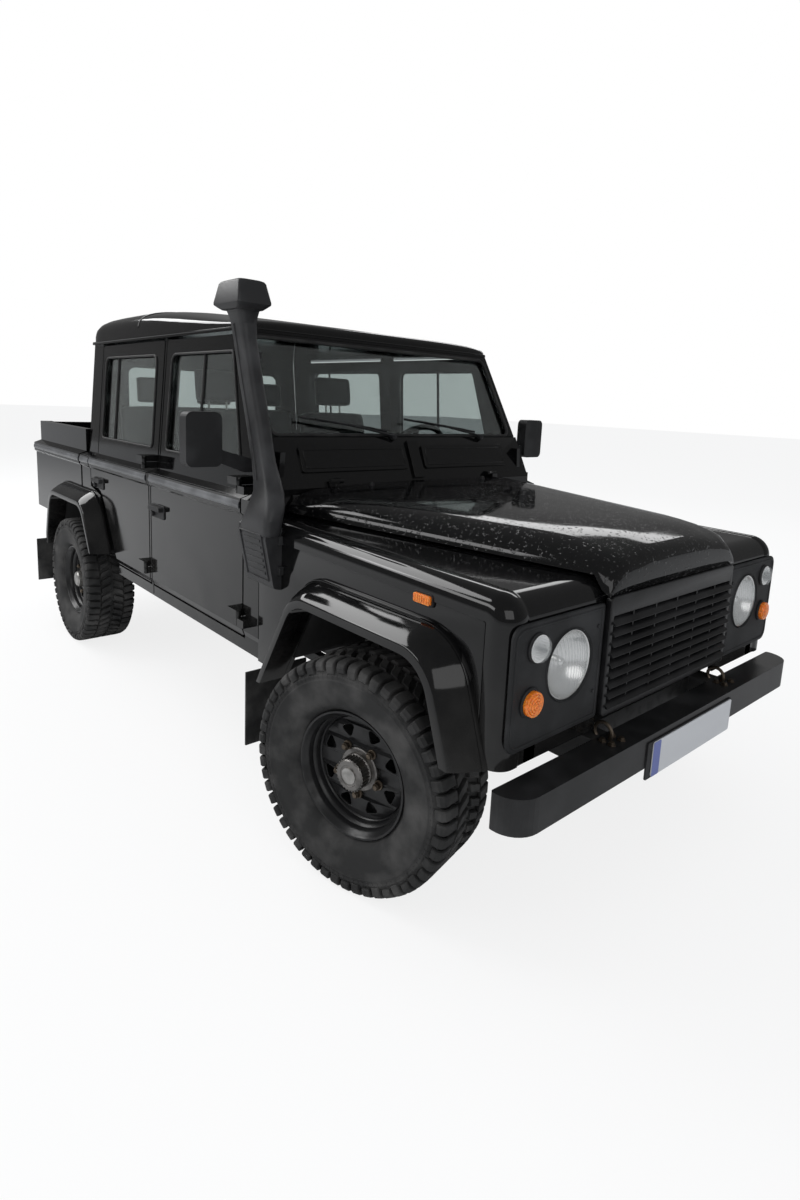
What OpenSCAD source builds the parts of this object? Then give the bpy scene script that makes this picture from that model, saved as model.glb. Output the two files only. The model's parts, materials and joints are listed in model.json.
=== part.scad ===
// Double-cab off-road pickup with a snorkel, steel wheels and mud tyres.
// X points to the front, Y to the vehicle's left and Z up; Z = 0 is the ground.

/* [Overall] */
// Distance from the front axle to the rear axle
wheelbase = 2734; // [2640:1:3340]
// Front axle to the foremost face, the number plate on the bumper
front_overhang = 705; // [680:1:840]
// Rear axle to the back face of the rear crossmember
rear_overhang = 1036; // [1000:1:1300]
// Distance between the centre planes of the wheels on one axle
track = 1510; // [1480:1:1600]
// Width over the door skins
body_w = 1600; // [1560:1:1720]
// Distance that the body's front datum lies ahead of the front axle
datum_lead = 60; // [40:1:80]

/* [Wheels] */
// Outer radius of the tyre
tyre_r = 375; // [360:1:400]
// Width of the tyre over its sidewalls
tyre_w = 265; // [225:1:285]
// Radius of the rim's flange
rim_flange_r = 208; // [202:1:214]
// Radius of the rim's outside, where the tyre's bead sits
rim_seat_r = 192; // [188:1:196]
// Width of the rim over its flanges
rim_w = 194; // [170:1:210]
// Distance of the wheel disc outside the wheel's centre plane
disc_offset = 52; // [30:1:60]
// Radius of the hub cap that covers the drive flange
hub_cap_r = 54; // [45:1:60]
// Distance that the hub cap stands out of the wheel disc
hub_cap_h = 66; // [40:1:75]
// Radius of the stub axle that the hub runs on
stub_r = 34; // [25:1:40]
// Running clearance between the stub axle and the hub
hub_gap = 0.3; // [0.1:0.1:0.5]
// Pitch circle of the five wheel nuts
nut_pcd = 165; // [150:1:170]
// Number of vents in the wheel disc
vents = 8; // [6:1:10]

/* [Heights] */
// Height of the wheel centres above the plane that all heights are drawn from
axle_z = 400; // [390:1:410]
// Height of the sill's lower edge
sill_z = 555; // [500:1:580]
// Height of the doors' lower edge
door_z = 617; // [600:1:650]
// Height where the side capping begins
capping_z = 1100; // [1080:1:1110]
// Height where the capping meets the upper body
waist_z = 1184; // [1170:1:1200]
// Height of the roof gutter
gutter_z = 1820; // [1800:1:1900]
// Height of the roof's crown above the gutter
roof_h = 155; // [130:1:190]
// Height of the load bed's floor
bed_floor_z = 862; // [850:1:900]
// Height of the load bed's top rail
bed_rail_z = 1315; // [1280:1:1360]

/* [Panels] */
// Distance that the upper body stands in from the door skins
shoulder_in = 44; // [30:1:60]
// Distance that the upper body leans in from waist to gutter
top_lean = 52; // [30:1:70]
// Distance that the capping stands out from the door skins
capping_out = 12; // [6:1:16]
// Thickness of a door below the waist
door_t = 48; // [35:1:60]
// Thickness of a door's window frame
frame_t = 34; // [25:1:42]
// Thickness of the body's side walls
wall_t = 24; // [15:1:40]
// Thickness of the roof with its lining
roof_t = 26; // [15:1:40]
// Thickness of the bonnet with its frame
bonnet_t = 16; // [10:1:25]
// Thickness of the window glass
glass_t = 6; // [4:1:8]
// Thickness of the floor panels
floor_t = 20; // [10:1:30]
// Gap round each door
door_gap = 10; // [9:1:14]
// Gap between a door's inner face and the posts behind it
post_gap = 8; // [7:1:12]
// Width of the centre post's face between the two doors
post_face = 14; // [14:1:30]

/* [Doors] */
// Front datum to the front edge of the front door
door_setback = 785; // [770:1:820]
// Length of a front door
front_door_l = 910; // [860:1:960]
// Distance of a hinge pin outside the door skin
hinge_out = 22; // [18:1:28]
// Distance of a hinge pin ahead of its door's edge
hinge_lead = 9; // [8:1:14]
// Radius of a hinge pin
hinge_pin_r = 6; // [4:1:8]
// Running clearance round a hinge pin
pin_gap = 0.3; // [0.1:0.1:0.6]
// Height of the lower hinges
low_hinge_z = 700; // [680:1:760]
// Height of the upper hinges
high_hinge_z = 1218; // [1210:1:1240]

/* [Windscreen] */
// Lean of the windscreen from upright, in degrees
screen_lean = 27; // [22:1:32]
// Height of the windscreen frame's foot
screen_z = 1400; // [1370:1:1430]
// Front datum to the windscreen frame's foot
screen_setback = 752; // [745:1:765]
// Depth of the windscreen frame, front to back
screen_d = 45; // [30:1:60]
// Front datum to the bulkhead's front face
bulkhead_setback = 660; // [640:1:680]

/* [Bonnet] */
// Half width of the bonnet at its front edge
bonnet_front_half = 397; // [370:1:430]
// Half width of the bonnet at its rear edge
bonnet_rear_half = 690; // [640:1:700]
// Front datum to the wing's front face
wing_lead = 540; // [520:1:560]
// Height of the wing's shoulder at the bulkhead
wing_rear_z = 1120; // [1100:1:1130]
// Height of the wing's shoulder at the lamps
wing_front_z = 1094; // [1070:1:1110]
// Height of the bonnet's flat above the wing
bonnet_rise = 88; // [70:1:110]

/* [Steering] */
// Angle that the front wheels stand turned to the left, in degrees
steer = 14; // [0:1:20]
// Turns of the steering wheel for each turn of the front wheels
steering_ratio = 18; // [14:1:22]
// Length of the steering arms that the track rod joins
arm_l = 140; // [120:1:160]

/* [Chassis] */
// Half of the distance between the rails' outer faces
rail_out = 400; // [380:1:410]
// Width of a chassis rail
rail_w = 78; // [60:1:90]
// Radius of the axle tubes
axle_r = 45; // [38:1:50]
// Distance of a kingpin inside the wheel's centre plane
kingpin_offset = 112; // [108:1:125]
// Radius of the swivel ball
swivel_r = 72; // [66:1:76]
// Running clearance between the swivel ball and its housing
swivel_gap = 0.4; // [0.3:0.1:1]

/* [Hidden] */
round_fn = 48;

overall_l = front_overhang + wheelbase + rear_overhang;
nose_x = overall_l / 2;
tail_x = -overall_l / 2;
fx = nose_x - front_overhang;
rx = fx - wheelbase;
body_x = fx + datum_lead;
skin_y = body_w / 2;
wheel_y = track / 2;
kingpin_y = wheel_y - kingpin_offset;
shoulder_y = skin_y - shoulder_in;

// Stations along the body
wing_front_x = body_x + wing_lead;
bulkhead_x = body_x - bulkhead_setback;
door_x0 = body_x - door_setback;
door_x1 = door_x0 - front_door_l;
post_x0 = door_x1 - door_gap;
post_x1 = post_x0 - post_face;
rear_door_x0 = post_x1 - door_gap;
cab_rear_x = rx + 34;
rear_door_x1 = cab_rear_x + 164;
bed_x0 = cab_rear_x - 24;
bed_x1 = tail_x + 30;
roof_base_z = gutter_z - 16;
door_top_z = roof_base_z - door_gap;
rail_rear_top_z = 742;

// A place a given distance behind the body's front datum
function aft(d) = body_x - d;
// Half width of the upper body at a height
function side_y(z) = shoulder_y - top_lean * (z - waist_z) / (gutter_z - waist_z);
// Front face of the windscreen frame at a height
function screen_x(z) = body_x - screen_setback - (z - screen_z) * tan(screen_lean);
function reversed(list) = [for (i = [len(list) - 1:-1:0]) list[i]];
function unit(v) = v / norm(v);

// A corner of an outline, replaced by an arc of radius r in n steps
function corner(p, i, r, n) =
    let (c = p[i], a = p[(i + len(p) - 1) % len(p)], b = p[(i + 1) % len(p)],
        u = unit(a - c), v = unit(b - c), half = acos(u * v) / 2,
        o = c + unit(u + v) * r / sin(half),
        p0 = c + u * r / tan(half), p1 = c + v * r / tan(half),
        a0 = atan2(p0.y - o.y, p0.x - o.x), a1 = atan2(p1.y - o.y, p1.x - o.x),
        turn = (a1 - a0 + 540) % 360 - 180)
    r <= 0 ? [c] : [for (k = [0:n]) o + r * [cos(a0 + turn * k / n), sin(a0 + turn * k / n)]];
// An outline with rounded corners; r is one radius or a list of one for each corner
function rounded(p, r, n = 5) = [for (i = [0:len(p) - 1]) each corner(p, i, is_list(r) ? r[i] : r, n)];
function box_outline(x0, z0, x1, z1) = [[x0, z0], [x1, z0], [x1, z1], [x0, z1]];

// An outline drawn in Y and Z, solid from x0 to x1
module along_x(x0, x1) translate([x0, 0, 0]) rotate([90, 0, 90]) linear_extrude(x1 - x0) children();
// An outline drawn in X and Z, solid from y0 to y1
module along_y(y0, y1) translate([0, y1, 0]) rotate([90, 0, 0]) linear_extrude(y1 - y0) children();
// An outline drawn in X and Y, solid from z0 to z1
module along_z(z0, z1) translate([0, 0, z0]) linear_extrude(z1 - z0) children();
// A block between two opposite corners
module block(low, high) translate(low) cube(high - low);
module rod(length, r) cylinder(h = length, r = r, $fn = round_fn);
module rod_x(x0, x1, y, z, r) translate([x0, y, z]) rotate([0, 90, 0]) rod(x1 - x0, r);
module rod_y(x, y0, y1, z, r) translate([x, y0, z]) rotate([-90, 0, 0]) rod(y1 - y0, r);
module rod_z(x, y, z0, z1, r) translate([x, y, z0]) rod(z1 - z0, r);
module flipped() mirror([0, 1, 0]) children();
module both() {
    children();
    flipped() children();
}
// Heights are drawn from a plane under the body; the whole vehicle is lowered onto its tyres
module stand() translate([0, 0, tyre_r - axle_z]) children();

// ---- outlines shared by several pieces ----

// The body's side, going up: the skin with its capping
function skin_line() = [[skin_y - 8, sill_z - 60], [skin_y - 8, door_z + 4], [skin_y, door_z + 26],
    [skin_y, capping_z], [skin_y + capping_out, capping_z + 12], [skin_y + capping_out, waist_z - 18],
    [side_y(waist_z), waist_z], [side_y(gutter_z + 60), gutter_z + 60]];
// A surface inside the skin, going up
function inner_line(low, up) = [[skin_y - low, sill_z - 60], [skin_y - low, waist_z - 16],
    [side_y(waist_z + 14) - up, waist_z + 14], [side_y(gutter_z + 60) - up, gutter_z + 60]];

// The body's left side between two surfaces, cut to an outline drawn in X and Z
module side_slab(outer, inner, outline) {
    intersection() {
        along_x(tail_x, nose_x) polygon(concat(outer, reversed(inner)));
        along_y(0, body_w) polygon(outline);
    }
}

// Wheel opening, with its steep side towards +X; the rear one is turned round
arch_top_z = axle_z + 490;
flare_top_z = arch_top_z + 84;
arch_outline = rounded([[-520, axle_z + 80], [-281, arch_top_z], [330, arch_top_z], [430, axle_z + 210],
    [440, axle_z - 100], [-520, axle_z - 100]], [0, 120, 120, 60, 0, 0]);
flare_outline = rounded([[-560, axle_z + 140], [-322, flare_top_z], [392, flare_top_z],
    [506, axle_z + 235], [506, axle_z + 100], [-560, axle_z + 100]], [0, 170, 190, 60, 0, 0]);
module front_arch() translate([body_x, 0]) polygon(arch_outline);
module rear_arch() translate([rx, 0]) mirror([1, 0]) polygon(arch_outline);

// Outlines of the doors, in X and Z
function front_door_outline() =
    let (top_x = screen_x(door_top_z) - screen_d - door_gap)
    rounded([[door_x0, door_z], [door_x0, knee_z], [top_x, door_top_z], [door_x1, door_top_z],
        [door_x1, door_z]], [10, 60, 12, 14, 10]);
function rear_door_outline() = rounded([[rear_door_x0, door_z], [rear_door_x0, door_top_z],
    [rear_door_x1, door_top_z], [rear_door_x1, door_z + 400], [rx + 374, door_z + 372], [rx + 606, door_z]],
    [10, 14, 14, 30, 120, 14]);
window_z0 = 1280;
window_z1 = door_top_z - 67;
function front_window() = rounded([[door_x0 - 112, window_z0], [screen_x(window_z1) - 108, window_z1],
    [door_x1 + 68, window_z1], [door_x1 + 58, window_z0]], [26, 26, 40, 26]);
function rear_window() = rounded([[rear_door_x0 - 72, window_z0], [rear_door_x0 - 82, window_z1],
    [rear_door_x1 + 58, window_z1], [rear_door_x1 + 58, window_z0]], [26, 40, 40, 26]);

// ---- chassis ----

outrigger_z = 556;

module chassis_frame() {
    cross_t = 60;
    rail_end = tail_x + cross_t - 1;
    rail_outline = [[aft(-548), 520], [aft(-300), 520], [aft(-190), 580], [aft(240), 580],
        [aft(430), 460], [rx + 620, 460], [rx + 330, 622], [rail_end, 622],
        [rail_end, rail_rear_top_z], [rx + 400, rail_rear_top_z], [rx + 700, 600], [aft(520), 600],
        [aft(250), 690], [aft(-210), 690], [aft(-340), 620], [aft(-548), 620]];
    cross_x = [aft(-420), aft(620), aft(1480), rx + 760, rx + 250];
    cross_z = [[530, 610], [516, 596], [478, 536], [548, 599], [640, 720]];
    outrigger_x = [aft(720), aft(1500), aft(2080)];
    stand() color("dimgray") difference() {
        union() {
            both() along_y(rail_out - rail_w, rail_out) polygon(rail_outline);
            for (i = [0:4])
                block([cross_x[i], -rail_out + 1, cross_z[i][0]],
                    [cross_x[i] + cross_t, rail_out - 1, cross_z[i][1]]);
            block([tail_x, -610, 600], [tail_x + cross_t, 610, rail_rear_top_z]);
            both() for (x = outrigger_x) block([x, rail_out - 1, outrigger_z], [x + 60, skin_y - 79, 600]);
            both() block([fx - 75, rail_out - 1, front_seat_z], [fx + 75, rail_out + 128, front_seat_z + 20]);
            both() block([rx - 75, rail_out - 1, rear_seat_z], [rx + 75, rail_out + 112, rear_seat_z + 20]);
            both() block([aft(985), rail_out - 62, 425], [aft(905), rail_out - 4, 461]);
            both() block([rx + 790, rail_out - 62, 425], [rx + 870, rail_out - 4, 461]);
        }
        for (y = [-80, 80], z = [640, 700]) rod_x(tail_x - 1, tail_x + cross_t + 1, y, z, 6.5);
    }
}

// Springs: their places and the heights of the seats above them
spring_y = rail_out + 62;
rear_spring_y = rail_out + 48;
spring_r = 58;
front_seat_z = 665;
rear_seat_z = 622;
front_pad_z = axle_z + 62;
module front_axle() {
    stand() color("dimgray") union() {
        rod_y(fx, -kingpin_y, kingpin_y, axle_z, axle_r);
        both() translate([fx, kingpin_y, axle_z]) sphere(r = swivel_r, $fn = round_fn);
        translate([fx, -190, axle_z]) sphere(r = 118, $fn = round_fn);
        rod_x(fx - 190, fx, -190, axle_z + 15, 48);
        both() rod_z(fx, spring_y, axle_z, front_pad_z, spring_r);
        // radius arms
        both() along_y(rail_out - 50, rail_out - 12) polygon([[fx + 90, axle_z - 50], [fx + 90, axle_z + 20],
            [aft(900), 425], [aft(985), 425], [aft(985), 385], [aft(900), 385], [fx - 80, axle_z - 70]]);
    }
}

rear_pad_z = axle_z + 62;
module rear_axle() {
    stand() color("dimgray") union() {
        rod_y(rx, -kingpin_y - 20, kingpin_y + 20, axle_z, axle_r);
        translate([rx, -100, axle_z]) sphere(r = 128, $fn = round_fn);
        rod_x(rx, rx + 200, -100, axle_z + 15, 48);
        both() rod_z(rx, rear_spring_y, axle_z, rear_pad_z, spring_r);
        both() rod_y(rx, kingpin_y + 10, wheel_y + disc_offset - 10, axle_z, stub_r);
        both() rod_y(rx, kingpin_y, kingpin_y + 60, axle_z, 75);
        // trailing arms
        both() along_y(rail_out - 50, rail_out - 12) polygon([[rx - 70, axle_z - 50], [rx - 70, axle_z + 10],
            [rx + 790, 425], [rx + 870, 425], [rx + 870, 385], [rx + 790, 385], [rx + 70, axle_z - 60]]);
    }
}

module springs_and_dampers() {
    coil_in = 42;
    damper_r = 26;
    stand() color("darkslategray") both() {
        difference() {
            rod_z(fx, spring_y, front_pad_z, front_seat_z, spring_r - 2);
            rod_z(fx, spring_y, front_pad_z - 1, front_seat_z + 1, coil_in);
        }
        rod_z(fx, spring_y, front_pad_z, front_seat_z, damper_r);
        difference() {
            rod_z(rx, rear_spring_y, rear_pad_z, rear_seat_z, spring_r - 2);
            rod_z(rx, rear_spring_y, rear_pad_z - 1, rear_seat_z + 1, coil_in);
        }
        rod_z(rx, rear_spring_y, rear_pad_z, rear_seat_z, damper_r);
    }
}

// A round bar between two points at the same Y, the second one lower
module shaft(a, b, r) {
    along = b - a;
    translate(a) rotate([0, 90 + atan2(-along.z, along.x), 0]) rod(norm(along), r);
}
module drivetrain() {
    inner = rail_out - rail_w;
    stand() color("gray") union() {
        block([aft(430), -210, 590], [aft(-300), 210, 1010]);
        block([aft(60), -inner, 610], [aft(-40), inner, 680]);
        block([aft(1160), -120, 600], [aft(420), 120, 740]);
        block([aft(1450), -230, 540], [aft(1140), 150, 730]);
        // radiator
        block([aft(-340), -330, 640], [aft(-400), 330, 1020]);
        block([aft(-290), -inner, 622], [aft(-400), inner, 660]);
        // propeller shafts
        shaft([aft(1160), -190, 575], [fx - 200, -190, axle_z + 15], 26);
        shaft([aft(1440), -100, 582], [rx + 210, -100, axle_z + 15], 32);
    }
}

module exhaust() {
    pipe_r = 22;
    pipe_z = 432;
    side_x = 560;
    silencer_r = 54;
    silencer_z = pipe_z + 58;
    stand() color("silver") union() {
        rod_y(aft(360), 210, 270, 640, pipe_r);
        rod_z(aft(360), 270, pipe_z, 640, pipe_r);
        rod_x(aft(1265), aft(360), 270, pipe_z, pipe_r);
        rod_y(aft(1265), 270, side_x, pipe_z, pipe_r);
        rod_x(aft(1265), aft(1265) + 20, side_x, pipe_z, pipe_r);
        rod_x(rx + 640, aft(1240), side_x, silencer_z, silencer_r);
        rod_x(tail_x + 260, rx + 660, side_x, silencer_z, pipe_r);
        block([aft(1490), side_x - 12, silencer_z], [aft(1460), side_x + 12, outrigger_z]);
        block([rx - 590, side_x - 12, silencer_z], [rx - 560, side_x + 12, rail_rear_top_z]);
    }
}

module fuel_tank() {
    inner = rail_out - rail_w;
    stand() color("black") along_y(-inner, inner) polygon(rounded([[tail_x + 150, 450], [tail_x + 640, 450],
        [tail_x + 640, 700], [tail_x + 150, 700]], 30));
}

// ---- cab ----

module bulkhead() {
    tunnel_half = 264;
    wall_half = skin_y - 64;
    scuttle_half = skin_y - 105;
    foot = door_z - door_gap;
    back_x = door_x0 + door_gap;
    frame_back_x = screen_x(screen_z) - screen_d;
    arm_y = bonnet_hinge_y - 25;
    low = bonnet_hinge_z - 10;
    high = bonnet_hinge_z + 10;
    stand() color("black") difference() {
        union() {
            block([bulkhead_x - 30, -wall_half, 700], [bulkhead_x, wall_half, scuttle_z - 8]);
            // scuttle below the windscreen
            along_y(-scuttle_half, scuttle_half) polygon([[bulkhead_x, scuttle_z - 20],
                [bulkhead_x, scuttle_z], [scuttle_x(screen_z), screen_z], [frame_back_x, screen_z],
                [frame_back_x, screen_z - 26], [bulkhead_x - 80, 1200], [bulkhead_x - 29, 1180]]);
            // hinge posts
            both() side_slab(skin_line(), inner_line(door_t + 16, 60), [[bulkhead_x, foot],
                [bulkhead_x, scuttle_z], [scuttle_x(screen_z), screen_z], [frame_back_x, screen_z],
                [back_x, knee_z], [back_x, foot]]);
            both() side_slab(inner_line(door_t + post_gap, frame_t + post_gap), inner_line(post_in, upper_in),
                box_outline(door_x0 - 75, sill_top_z, bulkhead_x - 20, knee_z - 10));
            // fixed halves of the bonnet hinges
            both() {
                along_y(arm_y, bonnet_hinge_y) polygon([[scuttle_x(low), low], [bonnet_hinge_x, low],
                    [bonnet_hinge_x, high], [scuttle_x(high), high]]);
                rod_y(bonnet_hinge_x, arm_y, bonnet_hinge_y, bonnet_hinge_z, 10);
                rod_y(bonnet_hinge_x, arm_y, bonnet_hinge_y + 35, bonnet_hinge_z, 5);
            }
        }
        block([bulkhead_x - 40, -tunnel_half, 600], [bulkhead_x + 1, tunnel_half, 800]);
    }
}
// Top of the wall below the scuttle, and the scuttle's sloping face above it
scuttle_z = 1208;
function scuttle_x(z) =
    bulkhead_x + (screen_x(screen_z) + 8 - bulkhead_x) * (z - scuttle_z) / (screen_z - scuttle_z);
// Height where the front door's edge starts to follow the windscreen frame
knee_z = screen_z - (screen_d + door_gap - door_setback + screen_setback) / tan(screen_lean);
// Inner face of the posts, measured in from the door skin
post_in = door_t + post_gap + 22;
bonnet_hinge_y = 455;

// The windscreen's opening, seen from the front
opening_z0 = screen_z + 7;
opening_z1 = roof_base_z - 19;
function screen_opening() =
    let (low_half = side_y(screen_z) - 36, top_half = side_y(roof_base_z) - 30)
    rounded([[-low_half, opening_z0], [low_half, opening_z0], [top_half, opening_z1],
        [-top_half, opening_z1]], 40);
module windscreen_frame() {
    top_z = roof_base_z;
    stand() color("black") difference() {
        intersection() {
            along_y(-skin_y, skin_y) polygon([[screen_x(screen_z), screen_z], [screen_x(top_z), top_z],
                [screen_x(top_z) - screen_d, top_z], [screen_x(screen_z) - screen_d, screen_z]]);
            along_x(tail_x, nose_x) polygon([[-side_y(screen_z), screen_z], [side_y(screen_z), screen_z],
                [side_y(top_z), top_z], [-side_y(top_z), top_z]]);
        }
        along_x(tail_x, nose_x) polygon(screen_opening());
    }
}

floor_z = 625;
arch_half = wheel_y - tyre_w / 2 - 24;
arch_x = rx + tyre_r + 40;
step_z = rail_rear_top_z + 2;
step_x = rx + 720;

module cab_floor() {
    half = skin_y - post_in;
    front = bulkhead_x - 30;
    tunnel_half = 264;
    tunnel_z = 800;
    tunnel_x = aft(1480);
    stand() color("dimgray") difference() {
        union() {
            block([step_x, -half, floor_z], [front, half, floor_z + floor_t]);
            block([step_x, -half, floor_z], [step_x + floor_t, half, step_z + floor_t]);
            // tunnel over the gearbox, and the seat boxes
            block([tunnel_x, -tunnel_half, floor_z], [front, tunnel_half, tunnel_z]);
            both() block([aft(1730), tunnel_half - 1, floor_z], [aft(1230), half - 40, seat_box_z]);
        }
        block([tunnel_x + floor_t, -tunnel_half + 18, floor_z - 1],
            [front + 1, tunnel_half - 18, tunnel_z - floor_t]);
    }
}

// the raised floor over the rear axle, with the wheel houses and the rear seat's box
module rear_floor() {
    half = skin_y - post_in;
    back = cab_rear_x + wall_t;
    house_z = 930;
    stand() color("dimgray") union() {
        block([arch_x, -half, step_z], [step_x, half, step_z + floor_t]);
        block([back, -arch_half, step_z], [arch_x + 1, arch_half, step_z + floor_t]);
        both() {
            block([back, arch_half - floor_t, step_z], [arch_x + floor_t, arch_half, house_z]);
            block([arch_x, arch_half - floor_t, step_z], [arch_x + floor_t, half, house_z]);
            block([back, arch_half - floor_t, house_z - floor_t], [arch_x + floor_t, half, house_z]);
        }
        block([cab_rear_x + 230, -arch_half + floor_t, step_z],
            [cab_rear_x + 480, arch_half - floor_t, seat_box_z]);
    }
}
seat_box_z = 880;

module cab_sides() {
    inset = door_t + post_gap;
    frame_in = frame_t + post_gap;
    rear_panel = [[rear_door_x1 - door_gap, door_z + 380], [rear_door_x1 - door_gap, roof_base_z],
        [cab_rear_x, roof_base_z], [cab_rear_x, 700], [rx + 300, 700], [rx + 350, door_z + 345]];
    stand() color("black") both() difference() {
        union() {
            // sill
            along_x(rx + 600, bulkhead_x) polygon([[skin_y - 78, sill_z], [skin_y - 10, sill_z],
                [skin_y - 10, door_z - door_gap], [skin_y - 78, door_z - door_gap]]);
            block([rx + 600, skin_y - post_in, door_z - door_gap - 1],
                [door_x0 + door_gap, skin_y - inset, sill_top_z]);
            // centre post
            side_slab(inner_line(inset, frame_in), inner_line(inset + 22, frame_in + 22),
                box_outline(post_x1 - 36, sill_z + 30, post_x0 + 36, roof_base_z));
            side_slab(skin_line(), inner_line(inset + 1, frame_in + 1),
                box_outline(post_x1, sill_z + 10, post_x0, roof_base_z));
            // panel behind the rear door
            side_slab(skin_line(), inner_line(wall_t, wall_t), rear_panel);
            side_slab(inner_line(inset, frame_in), inner_line(inset + 22, frame_in + 22),
                box_outline(rear_door_x1 - 40, 930, rear_door_x1 + 50, roof_base_z));
            side_slab(inner_line(wall_t - 1, wall_t - 1), inner_line(inset + 22, frame_in + 22),
                box_outline(cab_rear_x + wall_t, 930, rear_door_x1 - door_gap, roof_base_z));
        }
        along_y(skin_y - 130, body_w) rear_arch();
    }
}

module cab_rear_panel() {
    side = [[arch_half, step_z], [arch_half, 930], [skin_y - post_in, 930], [skin_y - post_in, waist_z - 16],
        [side_y(waist_z + 14) - upper_in, waist_z + 14], [side_y(roof_base_z) - upper_in, roof_base_z]];
    stand() color("black") difference() {
        along_x(cab_rear_x, cab_rear_x + wall_t)
            polygon(concat(side, [for (p = reversed(side)) [-p.x, p.y]]));
        along_x(cab_rear_x - 1, cab_rear_x + wall_t + 1) polygon(rear_window_outline());
    }
}
upper_in = frame_t + post_gap + 22;
sill_top_z = floor_z + floor_t + 10;
function rear_window_outline() = rounded(box_outline(-520, 1330, 520, 1700), 50);

// Roof: where a cross outline and a side outline meet
gutter_lip = 24;
module roof_body(inset) {
    top = gutter_z + roof_h - inset;
    front = screen_x(gutter_z) - inset;
    half = side_y(gutter_z) + 12 - inset;
    base = inset > 0 ? roof_base_z - 10 : gutter_z;
    back = cab_rear_x + inset;
    across = [[half, base], [half - 4, gutter_z + 66 - inset], [half - 60, top - 30], [half - 150, top - 10]];
    intersection() {
        along_x(tail_x, nose_x) polygon(rounded(concat(across, [[0, top + 6]],
            [for (p = reversed(across)) [-p.x, p.y]]), [0, 50, 60, 160, 400, 160, 60, 50, 0], 6));
        along_y(-skin_y, skin_y) polygon(rounded([[front, base], [front - 16, gutter_z + 37 - inset],
            [front - 246, top - 90], [front - 626, top - 40], [front - 926, top - 10], [front - 1226, top],
            [back, top - 3], [back, base]], [0, 14, 400, 600, 600, 600, 90, 0], 5));
    }
}
module roof() {
    lip_y = side_y(gutter_z) + gutter_lip;
    hole_y = side_y(gutter_z) - 70;
    stand() color("black") difference() {
        union() {
            roof_body(0);
            block([cab_rear_x, -lip_y, roof_base_z], [screen_x(roof_base_z), lip_y, gutter_z]);
        }
        roof_body(roof_t);
        block([cab_rear_x + 40, -hole_y, roof_base_z - 1], [screen_x(gutter_z) - 60, hole_y, gutter_z + 1]);
    }
}

module cab_glass() {
    z0 = opening_z0 - 5;
    z1 = opening_z1 + 5;
    depth = 18;
    back = depth + glass_t;
    stand() color("slategray", 0.5) union() {
        intersection() {
            along_y(-skin_y, skin_y) polygon([[screen_x(z0) - depth, z0], [screen_x(z1) - depth, z1],
                [screen_x(z1) - back, z1], [screen_x(z0) - back, z0]]);
            along_x(tail_x, nose_x) polygon(screen_opening());
        }
        along_x(cab_rear_x + 8, cab_rear_x + 8 + glass_t) polygon(rear_window_outline());
    }
}

// Steering column: a point on it, its lean and its length
wheel_side = 370;
column_lean = 32;
column_x = aft(905);
column_z = 1120;
column_l = 250;
module dashboard() {
    half = 670;
    stand() color("dimgray") union() {
        translate([bulkhead_x, 0, 0]) along_y(-half, half) polygon(rounded([[-30, 960], [-30, 1170],
            [-94, 1192], [-116, 1262], [-170, 1300], [-280, 1262], [-300, 1130], [-240, 960]],
            [0, 0, 0, 0, 30, 30, 30, 30]));
        translate([column_x, wheel_side, column_z]) rotate([0, -90 + column_lean, 0]) {
            cylinder(h = column_l, r = 32, $fn = round_fn);
            cylinder(h = column_l + 24, r = 11, $fn = round_fn);
        }
    }
}
// The wheel turns on the end of the column
module steering_wheel() {
    wheel_r = 198;
    grip_r = 15;
    turned = steer * steering_ratio;
    stand() color("black") translate([column_x, wheel_side, column_z]) rotate([0, -90 + column_lean, 0])
        translate([0, 0, column_l + 0.3]) {
        translate([0, 0, 24]) rotate_extrude($fn = 64) translate([wheel_r, 0]) circle(r = grip_r, $fn = 24);
        difference() {
            union() {
                cylinder(h = 40, r = 44, $fn = round_fn);
                for (a = [0, 90, 180, 270])
                    rotate([0, 0, a + turned]) translate([30, -14, 16]) cube([wheel_r - 38, 28, 14]);
            }
            translate([0, 0, -1]) cylinder(h = 25.4, r = 11.3, $fn = round_fn);
        }
    }
}

module seat(x, y, half, back_h) {
    top = 1000 + back_h;
    rest_half = half * 0.52;
    translate([x, y, 0]) {
        along_y(-half, half) polygon(rounded([[-250, seat_box_z], [250, seat_box_z], [262, 990],
            [230, 1020], [-180, 1005], [-230, 1020], [-330, top], [-440, top], [-345, 960]],
            [10, 20, 20, 30, 10, 20, 50, 40, 30]));
        along_y(-rest_half, rest_half) polygon(rounded([[-345, top], [-360, top + 50], [-340, top + 60],
            [-355, top + 210], [-425, top + 210], [-430, top + 50], [-415, top]],
            [0, 0, 10, 30, 30, 0, 0]));
    }
}
module front_seats() {
    stand() color("dimgray") both() seat(aft(1480), 370, 245, 470);
}
module rear_seat() {
    stand() color("dimgray") union() {
        translate([cab_rear_x, 0, 0]) along_y(-600, 600) polygon(rounded([[90, 932], [520, 932],
            [530, 1010], [220, 1030], [130, 1470], [40, 1470], [60, 1000]], [10, 30, 30, 20, 40, 40, 30]));
        block([cab_rear_x + 230, -480, seat_box_z], [cab_rear_x + 480, 480, 933]);
        for (y = [-380, 0, 380])
            along_y(y - 120, y + 120) polygon(rounded([[cab_rear_x + 60, 1469], [cab_rear_x + 60, 1640],
                [cab_rear_x + 110, 1640], [cab_rear_x + 125, 1469]], [0, 24, 24, 0]));
    }
}

// ---- front body ----

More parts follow.
